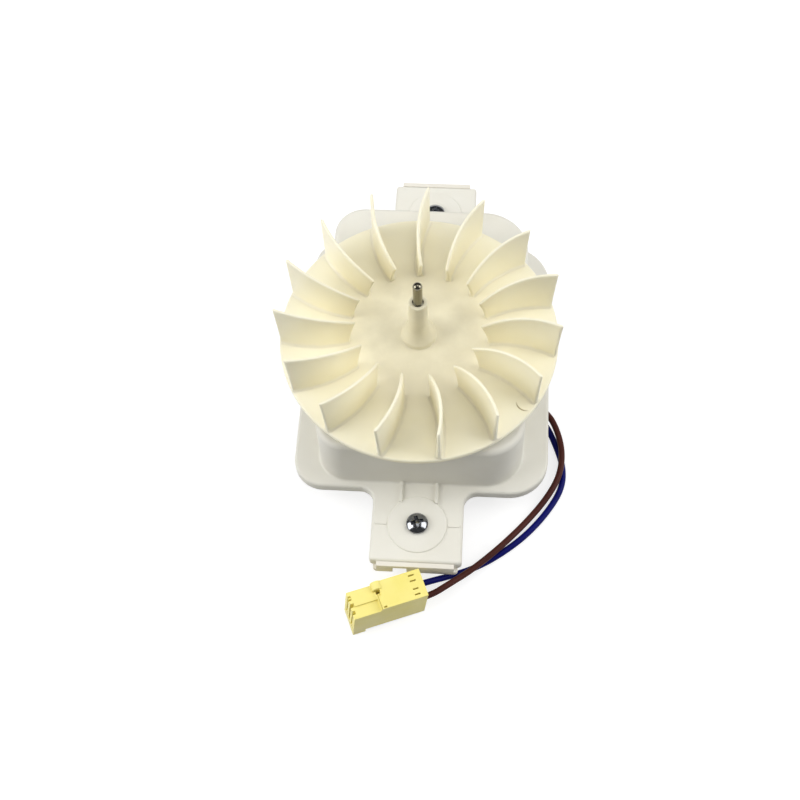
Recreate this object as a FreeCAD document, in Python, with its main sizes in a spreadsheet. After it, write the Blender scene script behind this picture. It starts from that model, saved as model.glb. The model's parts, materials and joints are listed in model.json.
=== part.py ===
import FreeCAD, Part
import math
import os
import re
import Sketcher

# A small fan motor: a moulded two-part housing with two screw tabs, a bladed impeller on a
# vertical shaft, the shaded pole motor inside, and two wires that end in a plug connector.
# The frame has its origin on the shaft's axis at the underside of the housing, +Z up.

os.makedirs("parts", exist_ok=True)
doc = FreeCAD.newDocument("FanMotor")
Vector = FreeCAD.Vector

# Driving dimensions in millimetres and degrees
SIZES = {
    # impeller
    "disc_diameter": 90,
    "disc_thickness": 1.8,
    "disc_height": 40,
    "disc_edge_round": 0.5,
    "blade_count": 15,
    "blade_thickness": 1.3,
    "blade_foot_inner": 22.3,
    "blade_top_inner": 19.9,
    "blade_foot_outer": 44.8,
    "blade_tip_outer": 46.3,
    "blade_rise_inner": 9.9,
    "blade_rise_outer": 18.3,
    "blade_top_curve": 34,
    "blade_arc_radius": 38.9,
    "blade_arc_offset": 48.4,
    "blade_arc_bearing": 39.6,
    "hub_top_diameter": 5.8,
    "hub_tube_diameter": 6.3,
    "hub_foot_diameter": 12,
    "hub_height": 19.9,
    "hub_tube_foot": 9,
    "hub_flare_curve": 12,
    "hub_boss_diameter": 8,
    "hub_boss_height": 1.2,
    # shaft
    "shaft_diameter": 3.2,
    "shaft_grip_diameter": 3.6,
    "shaft_end_diameter": 3,
    "shaft_shoulder": 0.2,
    "shaft_top": 69.9,
    "shaft_bottom": 2.6,
    "shaft_tip_round": 1.3,
    # upper cover
    "centre_x": 2,
    "centre_y": 6.5,
    "casing_width": 67,
    "casing_length": 93,
    "casing_top": 36,
    "casing_draft": 1.1,
    "casing_edge_round": 2,
    "casing_foot_round": 0.8,
    "wall": 2,
    "corner_front_left": 9.5,
    "corner_front_right": 12.5,
    "corner_back_right": 15.5,
    "corner_back_left": 10.5,
    "flange_side": 8.5,
    "flange_end": 2.3,
    "flange_top": 12,
    "flange_round": 1,
    "skirt_height": 3.6,
    "tab_width": 29.7,
    "tab_reach": 24.9,
    "tab_corner": 1.2,
    "tab_root_round": 4.5,
    "shaft_hole": 7,
    "screw_inset": 12.7,
    "screw_pad_diameter": 19.8,
    "screw_pad_height": 0.45,
    "screw_hole": 3.9,
    "screw_boss_diameter": 8,
    "rib_spacing": 11.6,
    "rib_thickness": 0.9,
    "rib_height": 1,
    "tick_length": 3.8,
    # lower cover
    "tray_wall": 1.8,
    "tray_floor": 2,
    "tray_foot_round": 1.5,
    "tongue_height": 4.6,
    "plate_thickness": 2,
    "plate_inset": 1.2,
    "lip_thickness": 1.6,
    "lip_height": 3.2,
    "notch_width": 4.5,
    "notch_height": 3.5,
    "notch_x": -3,
    "screw_boss_bottom": 0.5,
    "window_width": 9,
    "window_y": -5.9,
    # fits
    "fit": 0.2,
    "bearing_fit": 0.02,
    "running_gap": 0.3,
    # screws
    "screw_diameter": 3.5,
    "screw_head": 7,
    "screw_head_height": 2.5,
    "screw_end": 2,
    # stator
    "stack_side_room": 9.5,
    "stack_end_room": 12,
    "stack_bottom": 11,
    "stack_height": 14,
    "bore_share": 1.08,
    "pole_wall": 4,
    "leg_share": 0.375,
    "yoke_share": 0.5,
    "bobbin_wall": 1,
    "bobbin_flange": 1.3,
    "winding_share": 0.81135,
    "flange_margin": 0.5,
    "air_gap": 0.4,
    "core_height": 13,
    "end_ring_height": 1.7,
    "end_ring_margin": 1.1,
    "end_ring_width": 5.5,
    "bar_count": 12,
    "bar_share": 0.14,
    "shading_bearing": 60,
    "shading_width": 2.2,
    "shading_thickness": 1.5,
    "shading_margin": 1,
    # brackets and bearings
    "bracket_sheet": 1.2,
    "bracket_foot": 8,
    "bracket_half_width": 7,
    "bracket_rise": 5.5,
    "frame_screw_inset": 4,
    "frame_screw_diameter": 3,
    "frame_screw_head": 5.6,
    "frame_screw_head_height": 2.2,
    "frame_nut_width": 5.5,
    "frame_nut_height": 2.4,
    "bearing_diameter": 9.6,
    "bearing_height": 5.2,
    "felt_diameter": 14,
    "felt_height": 1.4,
    "retainer_sheet": 0.6,
    "washer_diameter": 7,
    "washer_thickness": 0.5,
    "spacer_diameter": 6,
    # rubber mounts
    "mount_inset": 4.5,
    "mount_diameter": 9,
    "mount_height": 5,
    "mount_socket": 2.5,
    "post_diameter": 6,
    # wires, grommet and plug
    "wire_diameter": 2.1,
    "exit_z": 4.2,
    "exit_brown_y": -4.6,
    "exit_blue_y": -7.2,
    "grommet_lip": 1.8,
    "grommet_overhang": 1.1,
    "pin_diameter": 1,
    "pin_length": 4,
    "pin_z": 7.5,
    "pin_spacing": 4.5,
    "pin_setback": 6.51,
    "plug_width": 9.3,
    "plug_length": 24.1,
    "plug_height": 14.8,
    "plug_lid_length": 14.9,
    "plug_lid_thickness": 0.7,
    "plug_lid_overhang": 0.2,
    "plug_step": 1.5,
    "plug_near_step": 0.6,
    "plug_step_round": 1,
    "plug_pitch": 4.6,
    "plug_way_offset": 2.35,
    "plug_way_height": 6.7,
    "plug_way_width": 3.9,
    "plug_roof": 2,
    "plug_gap_length": 7,
    "plug_entry": 3,
    "plug_entry_depth": 10,
    "plug_wire_depth": 3,
    "plug_mouth_slot": 0.8,
    "plug_mouth_splay": 1,
    "plug_mouth_fork": 2.6,
    "plug_mouth_depth": 1,
    "plug_wall": 0.9,
    "plug_chamber_width": 2.6,
    "plug_chamber_length": 11.5,
    "plug_bump_radius": 1.7,
    "plug_bump_width": 2.6,
    "plug_window_length": 1.9,
    "plug_window_width": 0.5,
    "plug_window_spacing": 1.85,
    "plug_window_x": 3.1,
    "plug_foot_length": 4.2,
    "plug_x": 1.93,
    "plug_gap": 3.67,
    "plug_yaw": 202.8,
    "plug_pitch_angle": 5.9,
}

# Lengths that follow from those above, so that the pieces keep together

FOLLOWING = {
    "flange_width": "casing_width + 2 * flange_side",
    "flange_length": "casing_length + 2 * flange_end",
    "tab_length": "flange_length + 2 * tab_reach",
    "screw_spacing": "tab_length - 2 * screw_inset",
    "stack_half_width": "casing_width / 2 - stack_side_room",
    "stack_bore": "stack_half_width * bore_share",
    "stack_front": "stack_bore / 2 + pole_wall",
    "stack_back": "centre_y + casing_length / 2 - stack_end_room",
    "leg_width": "stack_half_width * leg_share",
    "yoke_length": "(stack_back - stack_front) * yoke_share",
    "winding_depth": "(stack_bottom - bobbin_wall - tray_floor) * winding_share",
    "end_ring_outer": "stack_bore / 2 - air_gap - end_ring_margin",
    "end_ring_inner": "end_ring_outer - end_ring_width",
    "bar_diameter": "stack_bore / 2 * bar_share",
    "bar_circle": "end_ring_outer - bar_diameter / 2 - 0.1",
    "shading_inner": "stack_bore / 2 + shading_margin",
    "shading_outer": "stack_front / sin(shading_bearing) + shading_thickness + shading_margin",
    "bracket_half_length": "stack_half_width",
    "bracket_half_hat": "stack_half_width - bracket_foot",
    "frame_screw_x": "stack_half_width - frame_screw_inset",
    "mount_front_x": "stack_half_width - mount_inset - 1",
    "mount_front_y": "-(stack_front - mount_inset)",
    "mount_back_x": "stack_half_width - mount_inset",
    "mount_back_y": "stack_back - mount_inset",
    "pin_blue_y": "stack_back - yoke_length / 2 - pin_setback",
    "pin_brown_y": "pin_blue_y - pin_spacing",
    "shaft_step": "disc_height + hub_height + shaft_shoulder",
    "shaft_grip_bottom": "disc_height - disc_thickness - hub_boss_height",
    "plug_y": "centre_y - tab_length / 2 - plug_gap",
}

sheet = doc.addObject("Spreadsheet::Sheet", "Sizes")
for row, (word, size) in enumerate(SIZES.items(), 1):
    sheet.set("A%d" % row, word.replace("_", " "))
    sheet.set("B%d" % row, str(size))
    sheet.setAlias("B%d" % row, word)
doc.recompute()

probe = doc.addObject("App::FeaturePython", "Probe")
probe.addProperty("App::PropertyFloat", "Answer")

NODES = {}


# Helpers that bind a formula of alias words to a property


def formula(text):
    """The text with each size's word turned into its cell, and each following length spelt out."""
    def spell(match):
        word = match[0]
        if word in FOLLOWING:
            return "(%s)" % formula(FOLLOWING[word])
        return "Sizes." + word if word in SIZES else word

    return re.sub(r"[a-z]\w*", spell, str(text))


def link(item, **properties):
    for name, text in properties.items():
        item.setExpression(name.replace("__", "."), formula(text))
    return item


def number(text):
    probe.setExpression("Answer", formula(text))
    if not probe.recompute() or "Invalid" in probe.State:
        raise RuntimeError("%s has no answer" % text)
    return probe.Answer


def place(item, x=0, y=0, z=0):
    return link(item, Placement__Base__x=x, Placement__Base__y=y, Placement__Base__z=z)


def node(item, label):
    item.Label = label
    NODES[label] = item
    return item


# Helpers for solids with flat and round faces


def box(name, x, y, z):
    """x, y and z are pairs: from, to."""
    item = doc.addObject("Part::Box", name)
    link(item, Length="(%s) - (%s)" % (x[1], x[0]))
    link(item, Width="(%s) - (%s)" % (y[1], y[0]))
    link(item, Height="(%s) - (%s)" % (z[1], z[0]))
    return place(item, x[0], y[0], z[0])


def cylinder(name, diameter, bottom, top, x=0, y=0):
    item = doc.addObject("Part::Cylinder", name)
    link(item, Radius="(%s) / 2" % diameter, Height="(%s) - (%s)" % (top, bottom))
    return place(item, x, y, bottom)


def cylinder_along_x(name, diameter, start, end, y, z):
    item = doc.addObject("Part::Cylinder", name)
    link(item, Radius="(%s) / 2" % diameter, Height="(%s) - (%s)" % (end, start))
    item.Placement.Rotation = FreeCAD.Rotation(Vector(0, 1, 0), 90)
    return place(item, start, y, z)


def cut(name, base, *tools):
    item = doc.addObject("Part::Cut", name)
    item.Base = base
    item.Tool = tools[0] if len(tools) == 1 else join(name + "_tools", *tools)
    return item


def join(name, *shapes):
    item = doc.addObject("Part::MultiFuse", name)
    item.Shapes = list(shapes)
    item.Refine = True
    return item


def shared(name, *shapes):
    item = doc.addObject("Part::MultiCommon", name)
    item.Shapes = list(shapes)
    return item


def tube(name, outer, inner, bottom, top, x=0, y=0):
    skin = cylinder(name + "_outside", outer, bottom, top, x, y)
    bore = cylinder(name + "_bore", inner, bottom, top, x, y)
    return cut(name, skin, bore)


# Helpers for bodies made of sketches and features


def new_body(label):
    return node(doc.addObject("PartDesign::Body", label), label)


def new_sketch(body, name, plane, x=0, y=0, z=0):
    sketch = body.newObject("Sketcher::SketchObject", name)
    support = [item for item in body.Origin.OriginFeatures if item.Role == plane][0]
    sketch.AttachmentSupport = [(support, "")]
    sketch.MapMode = "FlatFace"
    link(sketch, AttachmentOffset__Base__x=x, AttachmentOffset__Base__y=y, AttachmentOffset__Base__z=z)
    return sketch


def arc_between(start, end, radius):
    """The arc from start to end: a positive radius turns left on the way, a negative one right."""
    chord = (end - start).Length
    middle = (start + end) / 2
    side = Vector(start.y - end.y, end.x - start.x, 0) / chord
    depth = math.sqrt(max(radius * radius - chord * chord / 4, 0))
    centre = middle + side * math.copysign(depth, radius)
    first, last = (start, end) if radius > 0 else (end, start)
    angles = [math.atan2(point.y - centre.y, point.x - centre.x) for point in (first, last)]
    if angles[1] < angles[0]:
        angles[1] += 2 * math.pi
    circle = Part.Circle(centre, Vector(0, 0, 1), abs(radius))
    return Part.ArcOfCircle(circle, angles[0], angles[1])


def draw(sketch, corners):
    """A closed outline. A corner is (x, y), or (x, y, radius) where an arc leaves it."""
    points = [Vector(number(corner[0]), number(corner[1]), 0) for corner in corners]
    for index, corner in enumerate(corners):
        start, end = points[index], points[(index + 1) % len(points)]
        if len(corner) == 3:
            sketch.addGeometry(arc_between(start, end, number(corner[2])), False)
        else:
            sketch.addGeometry(Part.LineSegment(start, end), False)
    for index, corner in enumerate(corners):
        before = (index - 1) % len(corners)
        leaving = 2 if len(corner) == 3 and number(corner[2]) < 0 else 1
        arriving = 1 if len(corners[before]) == 3 and number(corners[before][2]) < 0 else 2
        sketch.addConstraint(Sketcher.Constraint("Coincident", before, arriving, index, leaving))
        for axis, text, value in (("X", corner[0], points[index].x), ("Y", corner[1], points[index].y)):
            rule = Sketcher.Constraint("Distance" + axis, -1, 1, index, leaving, value)
            where = sketch.addConstraint(rule)
            sketch.renameConstraint(where, "corner%d%s" % (index, axis))
            sketch.setExpression("Constraints.corner%d%s" % (index, axis), formula(text))
        if len(corner) == 3:
            where = sketch.addConstraint(Sketcher.Constraint("Radius", index, abs(number(corner[2]))))
            sketch.renameConstraint(where, "radius%d" % index)
            sketch.setExpression("Constraints.radius%d" % index, formula("abs(%s)" % corner[2]))
    return sketch


def draw_circle(sketch, diameter):
    sketch.addGeometry(Part.Circle(Vector(0, 0, 0), Vector(0, 0, 1), number(diameter) / 2), False)
    sketch.addConstraint(Sketcher.Constraint("Coincident", 0, 3, -1, 1))
    where = sketch.addConstraint(Sketcher.Constraint("Diameter", 0, number(diameter)))
    sketch.renameConstraint(where, "across")
    sketch.setExpression("Constraints.across", formula(diameter))
    return sketch


def rectangle(left, right, front, back):
    return [(left, front), (right, front), (right, back), (left, back)]


def rounded(half_x, half_y, radii):
    """A rectangle about the sketch's centre, with its corner radii from the front left on."""
    front_left, front_right, back_right, back_left = radii
    return [
        ("-(%s) + (%s)" % (half_x, front_left), "-(%s)" % half_y),
        ("(%s) - (%s)" % (half_x, front_right), "-(%s)" % half_y, front_right),
        ("(%s)" % half_x, "-(%s) + (%s)" % (half_y, front_right)),
        ("(%s)" % half_x, "(%s) - (%s)" % (half_y, back_right), back_right),
        ("(%s) - (%s)" % (half_x, back_right), "(%s)" % half_y),
        ("-(%s) + (%s)" % (half_x, back_left), "(%s)" % half_y, back_left),
        ("-(%s)" % half_x, "(%s) - (%s)" % (half_y, back_left)),
        ("-(%s)" % half_x, "-(%s) + (%s)" % (half_y, front_left), front_left),
    ]


def feature(body, kind, sketch, name, **properties):
    """A pad or pocket of the sketch. It stops where it neither adds nor takes anything."""
    doc.recompute()
    before = 0 if body.Shape.isNull() else body.Shape.Volume
    item = body.newObject("PartDesign::" + kind, name)
    item.Profile = sketch
    if properties.pop("upwards", False):
        item.Reversed = True
    if properties.pop("both_ways", False):
        item.Midplane = True
    link(item, **properties)
    doc.recompute()
    change = body.Shape.Volume - before
    if abs(change) < 0.001 or (change > 0) != (kind == "Pad"):
        raise RuntimeError("%s changes nothing" % name)
    return item


def turned(body, kind, sketch, name):
    item = body.newObject("PartDesign::" + kind, name)
    item.Profile = sketch
    item.ReferenceAxis = (sketch, ["V_Axis"])
    item.Angle = 360
    doc.recompute()
    return item


def edges_where(item, wanted):
    doc.recompute()
    return ["Edge%d" % (i + 1) for i, edge in enumerate(item.Shape.Edges) if wanted(edge)]


def fillet(body, name, radius, wanted):
    base = body.Tip
    item = body.newObject("PartDesign::Fillet", name)
    item.Base = (base, edges_where(base, wanted))
    link(item, Radius=radius)
    doc.recompute()
    return item


def level(edge, height):
    """True for an edge that lies all along one height."""
    bounds = edge.BoundBox
    return abs(bounds.ZMin - height) < 0.01 and abs(bounds.ZMax - height) < 0.01


def upright(edge):
    bounds = edge.BoundBox
    return bounds.XLength < 0.01 and bounds.YLength < 0.01


CORNERS = ["corner_front_left", "corner_front_right", "corner_back_right", "corner_back_left"]
FLANGE_CORNERS = ["%s + 0.5" % word for word in CORNERS]


def inset(words, amount):
    return ["%s - (%s)" % (word, amount) for word in words]


def housing_sketch(body, name, z, half_x, half_y, radii):
    sketch = new_sketch(body, name, "XY_Plane", "centre_x", "centre_y", z)
    return draw(sketch, rounded(half_x, half_y, radii))


# Housing


def screw_places():
    """The two cover screws: a name, the way to the end of the tab, and the place along Y."""
    return (("near", -1, "centre_y - screw_spacing / 2"), ("far", 1, "centre_y + screw_spacing / 2"))


def post_places():
    places = []
    corners = ((-1, "front"), (1, "front"), (-1, "back"), (1, "back"))
    for number_of_post, (side, row) in enumerate(corners, 1):
        places.append((number_of_post, "%d * mount_%s_x" % (side, row), "mount_%s_y" % row))
    return places


def upper_cover():
    body = doc.addObject("PartDesign::Body", "upper_moulding")
    skirt = "flange_top - skirt_height"
    outline = housing_sketch(body, "flange_outline", skirt, "flange_width / 2",
                             "flange_length / 2", FLANGE_CORNERS)
    feature(body, "Pad", outline, "flange", Length="skirt_height")
    strip = housing_sketch(body, "tab_outline", skirt, "tab_width / 2",
                           "tab_length / 2", ["tab_corner"] * 4)
    feature(body, "Pad", strip, "tabs", Length="skirt_height")
    side = number("tab_width / 2")
    reach = number("flange_length / 2")
    middle = Vector(number("centre_x"), number("centre_y"), 0)

    def tab_root(edge):
        place_of_edge = edge.CenterOfMass - middle
        return (upright(edge) and abs(abs(place_of_edge.x) - side) < 0.01
                and abs(abs(place_of_edge.y) - reach) < 0.01)

    fillet(body, "tab_roots", "tab_root_round", tab_root)
    top = number("flange_top")
    fillet(body, "flange_edge", "flange_round", lambda edge: level(edge, top))
    foot = housing_sketch(body, "casing_outline", "flange_top", "casing_width / 2",
                          "casing_length / 2", CORNERS)
    feature(body, "Pad", foot, "casing", Length="casing_top - flange_top", TaperAngle="-casing_draft")
    crown = number("casing_top")
    fillet(body, "casing_edge", "casing_edge_round", lambda edge: level(edge, crown))
    half = (number("casing_width / 2"), number("casing_length / 2"))

    def casing_foot(edge):
        bounds = edge.BoundBox
        inside = (bounds.XMin > middle.x - half[0] - 0.01 and bounds.XMax < middle.x + half[0] + 0.01
                  and bounds.YMin > middle.y - half[1] - 0.01 and bounds.YMax < middle.y + half[1] + 0.01)
        return level(edge, top) and inside

    fillet(body, "casing_foot", "casing_foot_round", casing_foot)
    depth = "skirt_height - wall"
    under = housing_sketch(body, "flange_hollow_outline", skirt, "flange_width / 2 - wall",
                           "flange_length / 2 - wall", inset(FLANGE_CORNERS, "wall"))
    feature(body, "Pocket", under, "flange_hollow", upwards=True, Length=depth)
    groove = housing_sketch(body, "tab_hollow_outline", skirt, "tab_width / 2 - wall",
                            "tab_length / 2 - wall", ["0.4"] * 4)
    feature(body, "Pocket", groove, "tab_hollow", upwards=True, Length=depth)
    room = housing_sketch(body, "casing_hollow_outline", "flange_top - wall", "casing_width / 2 - wall",
                          "casing_length / 2 - wall", inset(CORNERS, "wall"))
    feature(body, "Pocket", room, "casing_hollow", upwards=True, Length="casing_top - flange_top",
            TaperAngle="-casing_draft")

    added = [body]
    taken = [cylinder("shaft_opening", "shaft_hole", "casing_top - 2 * wall", "casing_top + 1")]
    for name, way, y in screw_places():
        pad_top = "flange_top + screw_pad_height"
        cone = doc.addObject("Part::Cone", name + "_screw_pad")
        link(cone, Radius1="screw_pad_diameter / 2", Radius2="screw_pad_diameter / 2 - screw_pad_height")
        link(cone, Height="screw_pad_height + 0.2")
        added.append(place(cone, "centre_x", y, "flange_top - 0.2"))
        added.append(cylinder(name + "_screw_seat", "screw_boss_diameter", skirt, "flange_top - 0.2",
                              "centre_x", y))
        taken.append(cylinder(name + "_screw_way", "screw_hole", skirt + " - 1", pad_top + " + 1",
                              "centre_x", y))
        for side_name, sign in (("left", -1), ("right", 1)):
            x = "centre_x + %d * rib_spacing / 2" % sign
            wall_end = "centre_y + %d * (casing_length / 2 - 1)" % way
            pad_end = "%s - %d * (screw_pad_diameter / 2 - 2.5)" % (y, way)
            across = (x + " - rib_thickness / 2", x + " + rib_thickness / 2")
            along = (pad_end, wall_end) if way < 0 else (wall_end, pad_end)
            heights = ("flange_top - 0.5", "flange_top + rib_height")
            added.append(box("%s_%s_rib" % (name, side_name), across, along, heights))
            start = "centre_x + %d * screw_pad_diameter / 2" % sign
            end = "centre_x + %d * (screw_pad_diameter / 2 + tick_length)" % sign
            across = (start, end) if sign > 0 else (end, start)
            along = (y + " - rib_thickness / 2", y + " + rib_thickness / 2")
            heights = ("flange_top - 0.5", "flange_top + 0.4")
            added.append(box("%s_%s_tick" % (name, side_name), across, along, heights))
    for index, x, y in post_places():
        foot_of_post = "stack_bottom + stack_height + mount_height - mount_socket"
        added.append(cylinder("upper_post_%d" % index, "post_diameter", foot_of_post,
                              "casing_top - wall / 2", x, y))
    node(cut("upper_cover", join("upper_cover_solid", *added), *taken), "upper_cover")


def tray_half(axis):
    return "casing_%s / 2 - wall - fit" % axis


def lower_cover():
    body = doc.addObject("PartDesign::Body", "lower_moulding")
    plate_bottom = "flange_top - skirt_height - plate_thickness"
    plate_top = "flange_top - skirt_height"
    plate = housing_sketch(body, "plate_outline", plate_bottom, "flange_width / 2 - plate_inset",
                           "flange_length / 2 - plate_inset", inset(FLANGE_CORNERS, "plate_inset"))
    feature(body, "Pad", plate, "plate", Length="plate_thickness")
    strip = housing_sketch(body, "lower_tab_outline", plate_bottom, "tab_width / 2 - plate_inset",
                           "tab_length / 2 + fit / 2 + lip_thickness", ["tab_corner"] * 4)
    feature(body, "Pad", strip, "lower_tabs", Length="plate_thickness")
    side = number("tab_width / 2 - plate_inset")
    reach = number("flange_length / 2 - plate_inset")
    middle = Vector(number("centre_x"), number("centre_y"), 0)

    def tab_root(edge):
        place_of_edge = edge.CenterOfMass - middle
        return (upright(edge) and abs(abs(place_of_edge.x) - side) < 0.01
                and abs(abs(place_of_edge.y) - reach) < 0.01)

    fillet(body, "lower_tab_roots", "tab_root_round", tab_root)
    radii = inset(CORNERS, "wall + fit")
    tray = housing_sketch(body, "tray_outline", 0, tray_half("width"), tray_half("length"), radii)
    feature(body, "Pad", tray, "tray", Length=plate_top + " + tongue_height")
    fillet(body, "tray_foot", "tray_foot_round", lambda edge: level(edge, 0))
    room = housing_sketch(body, "tray_hollow_outline", "tray_floor", tray_half("width") + " - tray_wall",
                          tray_half("length") + " - tray_wall", inset(radii, "tray_wall"))
    feature(body, "Pocket", room, "tray_hollow", upwards=True, Length=plate_top + " + tongue_height")

    added, taken = [body], []
    for name, way, y in screw_places():
        inner = "centre_y + %d * (tab_length / 2 + fit / 2)" % way
        outer = "centre_y + %d * (tab_length / 2 + fit / 2 + lip_thickness)" % way
        across = ("centre_x - tab_width / 2 + plate_inset + tab_corner",
                  "centre_x + tab_width / 2 - plate_inset - tab_corner")
        along = (outer, inner) if way < 0 else (inner, outer)
        added.append(box(name + "_lip", across, along, (plate_bottom, plate_top + " + lip_height")))
        added.append(cylinder(name + "_screw_boss", "screw_boss_diameter", "screw_boss_bottom",
                              plate_top, "centre_x", y))
        taken.append(cylinder(name + "_screw_core", "screw_diameter", "screw_end", plate_top + " + 1",
                              "centre_x", y))
    near_end = "centre_y - tab_length / 2 - fit / 2 - lip_thickness"
    taken.append(box("lip_notch", ("notch_x - notch_width / 2", "notch_x + notch_width / 2"),
                     (near_end + " - 1", near_end + " + lip_thickness + 0.8"),
                     (plate_bottom + " - 1", plate_bottom + " + notch_height")))
    right_wall = "centre_x + " + tray_half("width")
    taken.append(box("wire_window", (right_wall + " - tray_wall - 1", right_wall + " + 1"),
                     ("window_y - window_width / 2", "window_y + window_width / 2"),
                     ("tray_floor", plate_bottom)))
    for index, x, y in post_places():
        top_of_post = "stack_bottom - mount_height + mount_socket"
        added.append(cylinder("lower_post_%d" % index, "post_diameter", "tray_floor / 2", top_of_post, x, y))
    node(cut("lower_cover", join("lower_cover_solid", *added), *taken), "lower_cover")


def cover_screws():
    for name, way, y in screw_places():
        body = new_body(name + "_cover_screw")
        place(body, "centre_x", y, "flange_top + screw_pad_height")
        profile = new_sketch(body, name + "_screw_profile", "XZ_Plane")
        length = "flange_top + screw_pad_height - screw_end"
        draw(profile, [
            (0, "-(%s)" % length),
            ("screw_diameter / 4", "-(%s)" % length),
            ("screw_diameter / 2", "-(%s) + 2" % length),
            ("screw_diameter / 2", 0),
            ("screw_head / 2", 0),
            ("screw_head / 2", "screw_head_height * 0.45", "screw_head * 0.62"),
            (0, "screw_head_height"),
        ])
        turned(body, "Revolution", profile, name + "_screw_turned")
        for turn, direction in ((0, "long"), (90, "wide")):
            slot = new_sketch(body, "%s_recess_%s" % (name, direction), "XY_Plane",
                              0, 0, "screw_head_height - 1.5")
            slot.AttachmentOffset.Rotation = FreeCAD.Rotation(Vector(0, 0, 1), turn)
            draw(slot, rectangle("-screw_head * 0.28", "screw_head * 0.28", "-0.5", "0.5"))
            feature(body, "Pocket", slot, "%s_recess_cut_%s" % (name, direction), upwards=True, Length="3")


# Impeller


def blade_bearing(radius):
    """Where the blade's arc is at that radius, as an angle about the arc's own centre."""
    squares = "(%s) ^ 2 - blade_arc_offset ^ 2 - blade_arc_radius ^ 2" % radius
    return "(blade_arc_bearing * 1 deg + acos((%s) / (2 * blade_arc_offset * blade_arc_radius)))" % squares


def impeller():
    body = new_body("impeller")
    disc = new_sketch(body, "disc_outline", "XY_Plane", 0, 0, "disc_height - disc_thickness")
    draw_circle(disc, "disc_diameter")
    feature(body, "Pad", disc, "disc", Length="disc_thickness")
    fillet(body, "disc_edge", "disc_edge_round", lambda edge: edge.Length > 10)

    blade = new_sketch(body, "blade_outline", "XY_Plane", 0, 0, "disc_height")
    centre_x = "blade_arc_offset * cos(blade_arc_bearing)"
    centre_y = "blade_arc_offset * sin(blade_arc_bearing)"
    corners = []
    for reach, way in (("blade_tip_outer + 1", 1), ("blade_top_inner - 1", 1),
                       ("blade_top_inner - 1", -1), ("blade_tip_outer + 1", -1)):
        radius = "(blade_arc_radius + %d * blade_thickness / 2)" % way
        corners.append(["%s + %s * cos(%s)" % (centre_x, radius, blade_bearing(reach)),
                        "%s + %s * sin(%s)" % (centre_y, radius, blade_bearing(reach))])
    corners[0].append("blade_arc_radius + blade_thickness / 2")
    corners[2].append("-(blade_arc_radius - blade_thickness / 2)")
    draw(blade, [tuple(corner) for corner in corners])
    feature(body, "Pad", blade, "blade", Length="blade_rise_outer + 1.5")

    ring = body.newObject("PartDesign::PolarPattern", "blade_ring")
    ring.Originals = [doc.getObject("blade")]
    ring.Axis = ([item for item in body.Origin.OriginFeatures if item.Role == "Z_Axis"][0], [""])
    ring.Angle = 360
    ring.setExpression("Occurrences", "Sizes.blade_count")
    body.Tip = ring
    doc.recompute()

    trim = new_sketch(body, "blade_envelope", "XZ_Plane")
    draw(trim, [
        ("blade_top_inner - 5", "disc_height"),
        ("blade_foot_inner", "disc_height"),
        ("blade_top_inner", "disc_height + blade_rise_inner", "-blade_top_curve"),
        ("blade_foot_outer", "disc_height + blade_rise_outer"),
        ("blade_tip_outer", "disc_height + blade_rise_outer"),
        ("blade_foot_outer", "disc_height"),
        ("blade_tip_outer + 4", "disc_height"),
        ("blade_tip_outer + 4", "disc_height + blade_rise_outer + 5"),
        ("blade_top_inner - 5", "disc_height + blade_rise_outer + 5"),
    ])
    turned(body, "Groove", trim, "blade_trim")

    hub = new_sketch(body, "hub_profile", "XZ_Plane")
    flare_foot = ("disc_height + hub_tube_foot - sqrt(hub_flare_curve ^ 2"
                  " - (hub_tube_diameter / 2 + hub_flare_curve - hub_foot_diameter / 2) ^ 2)")
    draw(hub, [
        ("shaft_grip_diameter / 2", "disc_height - disc_thickness - hub_boss_height"),
        ("hub_boss_diameter / 2", "disc_height - disc_thickness - hub_boss_height"),
        ("hub_boss_diameter / 2", "disc_height - disc_thickness / 2"),
        ("hub_foot_diameter / 2", "disc_height - disc_thickness / 2"),
        ("hub_foot_diameter / 2", flare_foot, "-hub_flare_curve"),
        ("hub_tube_diameter / 2", "disc_height + hub_tube_foot"),
        ("hub_top_diameter / 2", "disc_height + hub_height"),
        ("shaft_grip_diameter / 2", "disc_height + hub_height"),
    ])
    turned(body, "Revolution", hub, "hub")
    bore = new_sketch(body, "bore_outline", "XY_Plane")
    draw_circle(bore, "shaft_grip_diameter")
    feature(body, "Pocket", bore, "bore", upwards=True, Length="disc_height + hub_height + 1")


# Rotor

def shaft():
    body = new_body("shaft")
    for name, across, bottom, top in (
            ("shaft_rod", "shaft_diameter", "shaft_bottom", "shaft_grip_bottom"),
            ("shaft_grip", "shaft_grip_diameter", "shaft_grip_bottom", "shaft_step"),
            ("shaft_stub", "shaft_end_diameter", "shaft_step", "shaft_top")):
        outline = new_sketch(body, name + "_outline", "XY_Plane", 0, 0, bottom)
        draw_circle(outline, across)
        feature(body, "Pad", outline, name, Length="%s - %s" % (top, bottom))
    tip = number("shaft_top")
    fillet(body, "shaft_tip", "shaft_tip_round", lambda edge: level(edge, tip))
    end = number("shaft_bottom")
    fillet(body, "shaft_end", "0.3", lambda edge: level(edge, end))


CORE_BOTTOM = "stack_bottom + (stack_height - core_height) / 2"
CORE_TOP = "stack_bottom + (stack_height + core_height) / 2"


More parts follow.
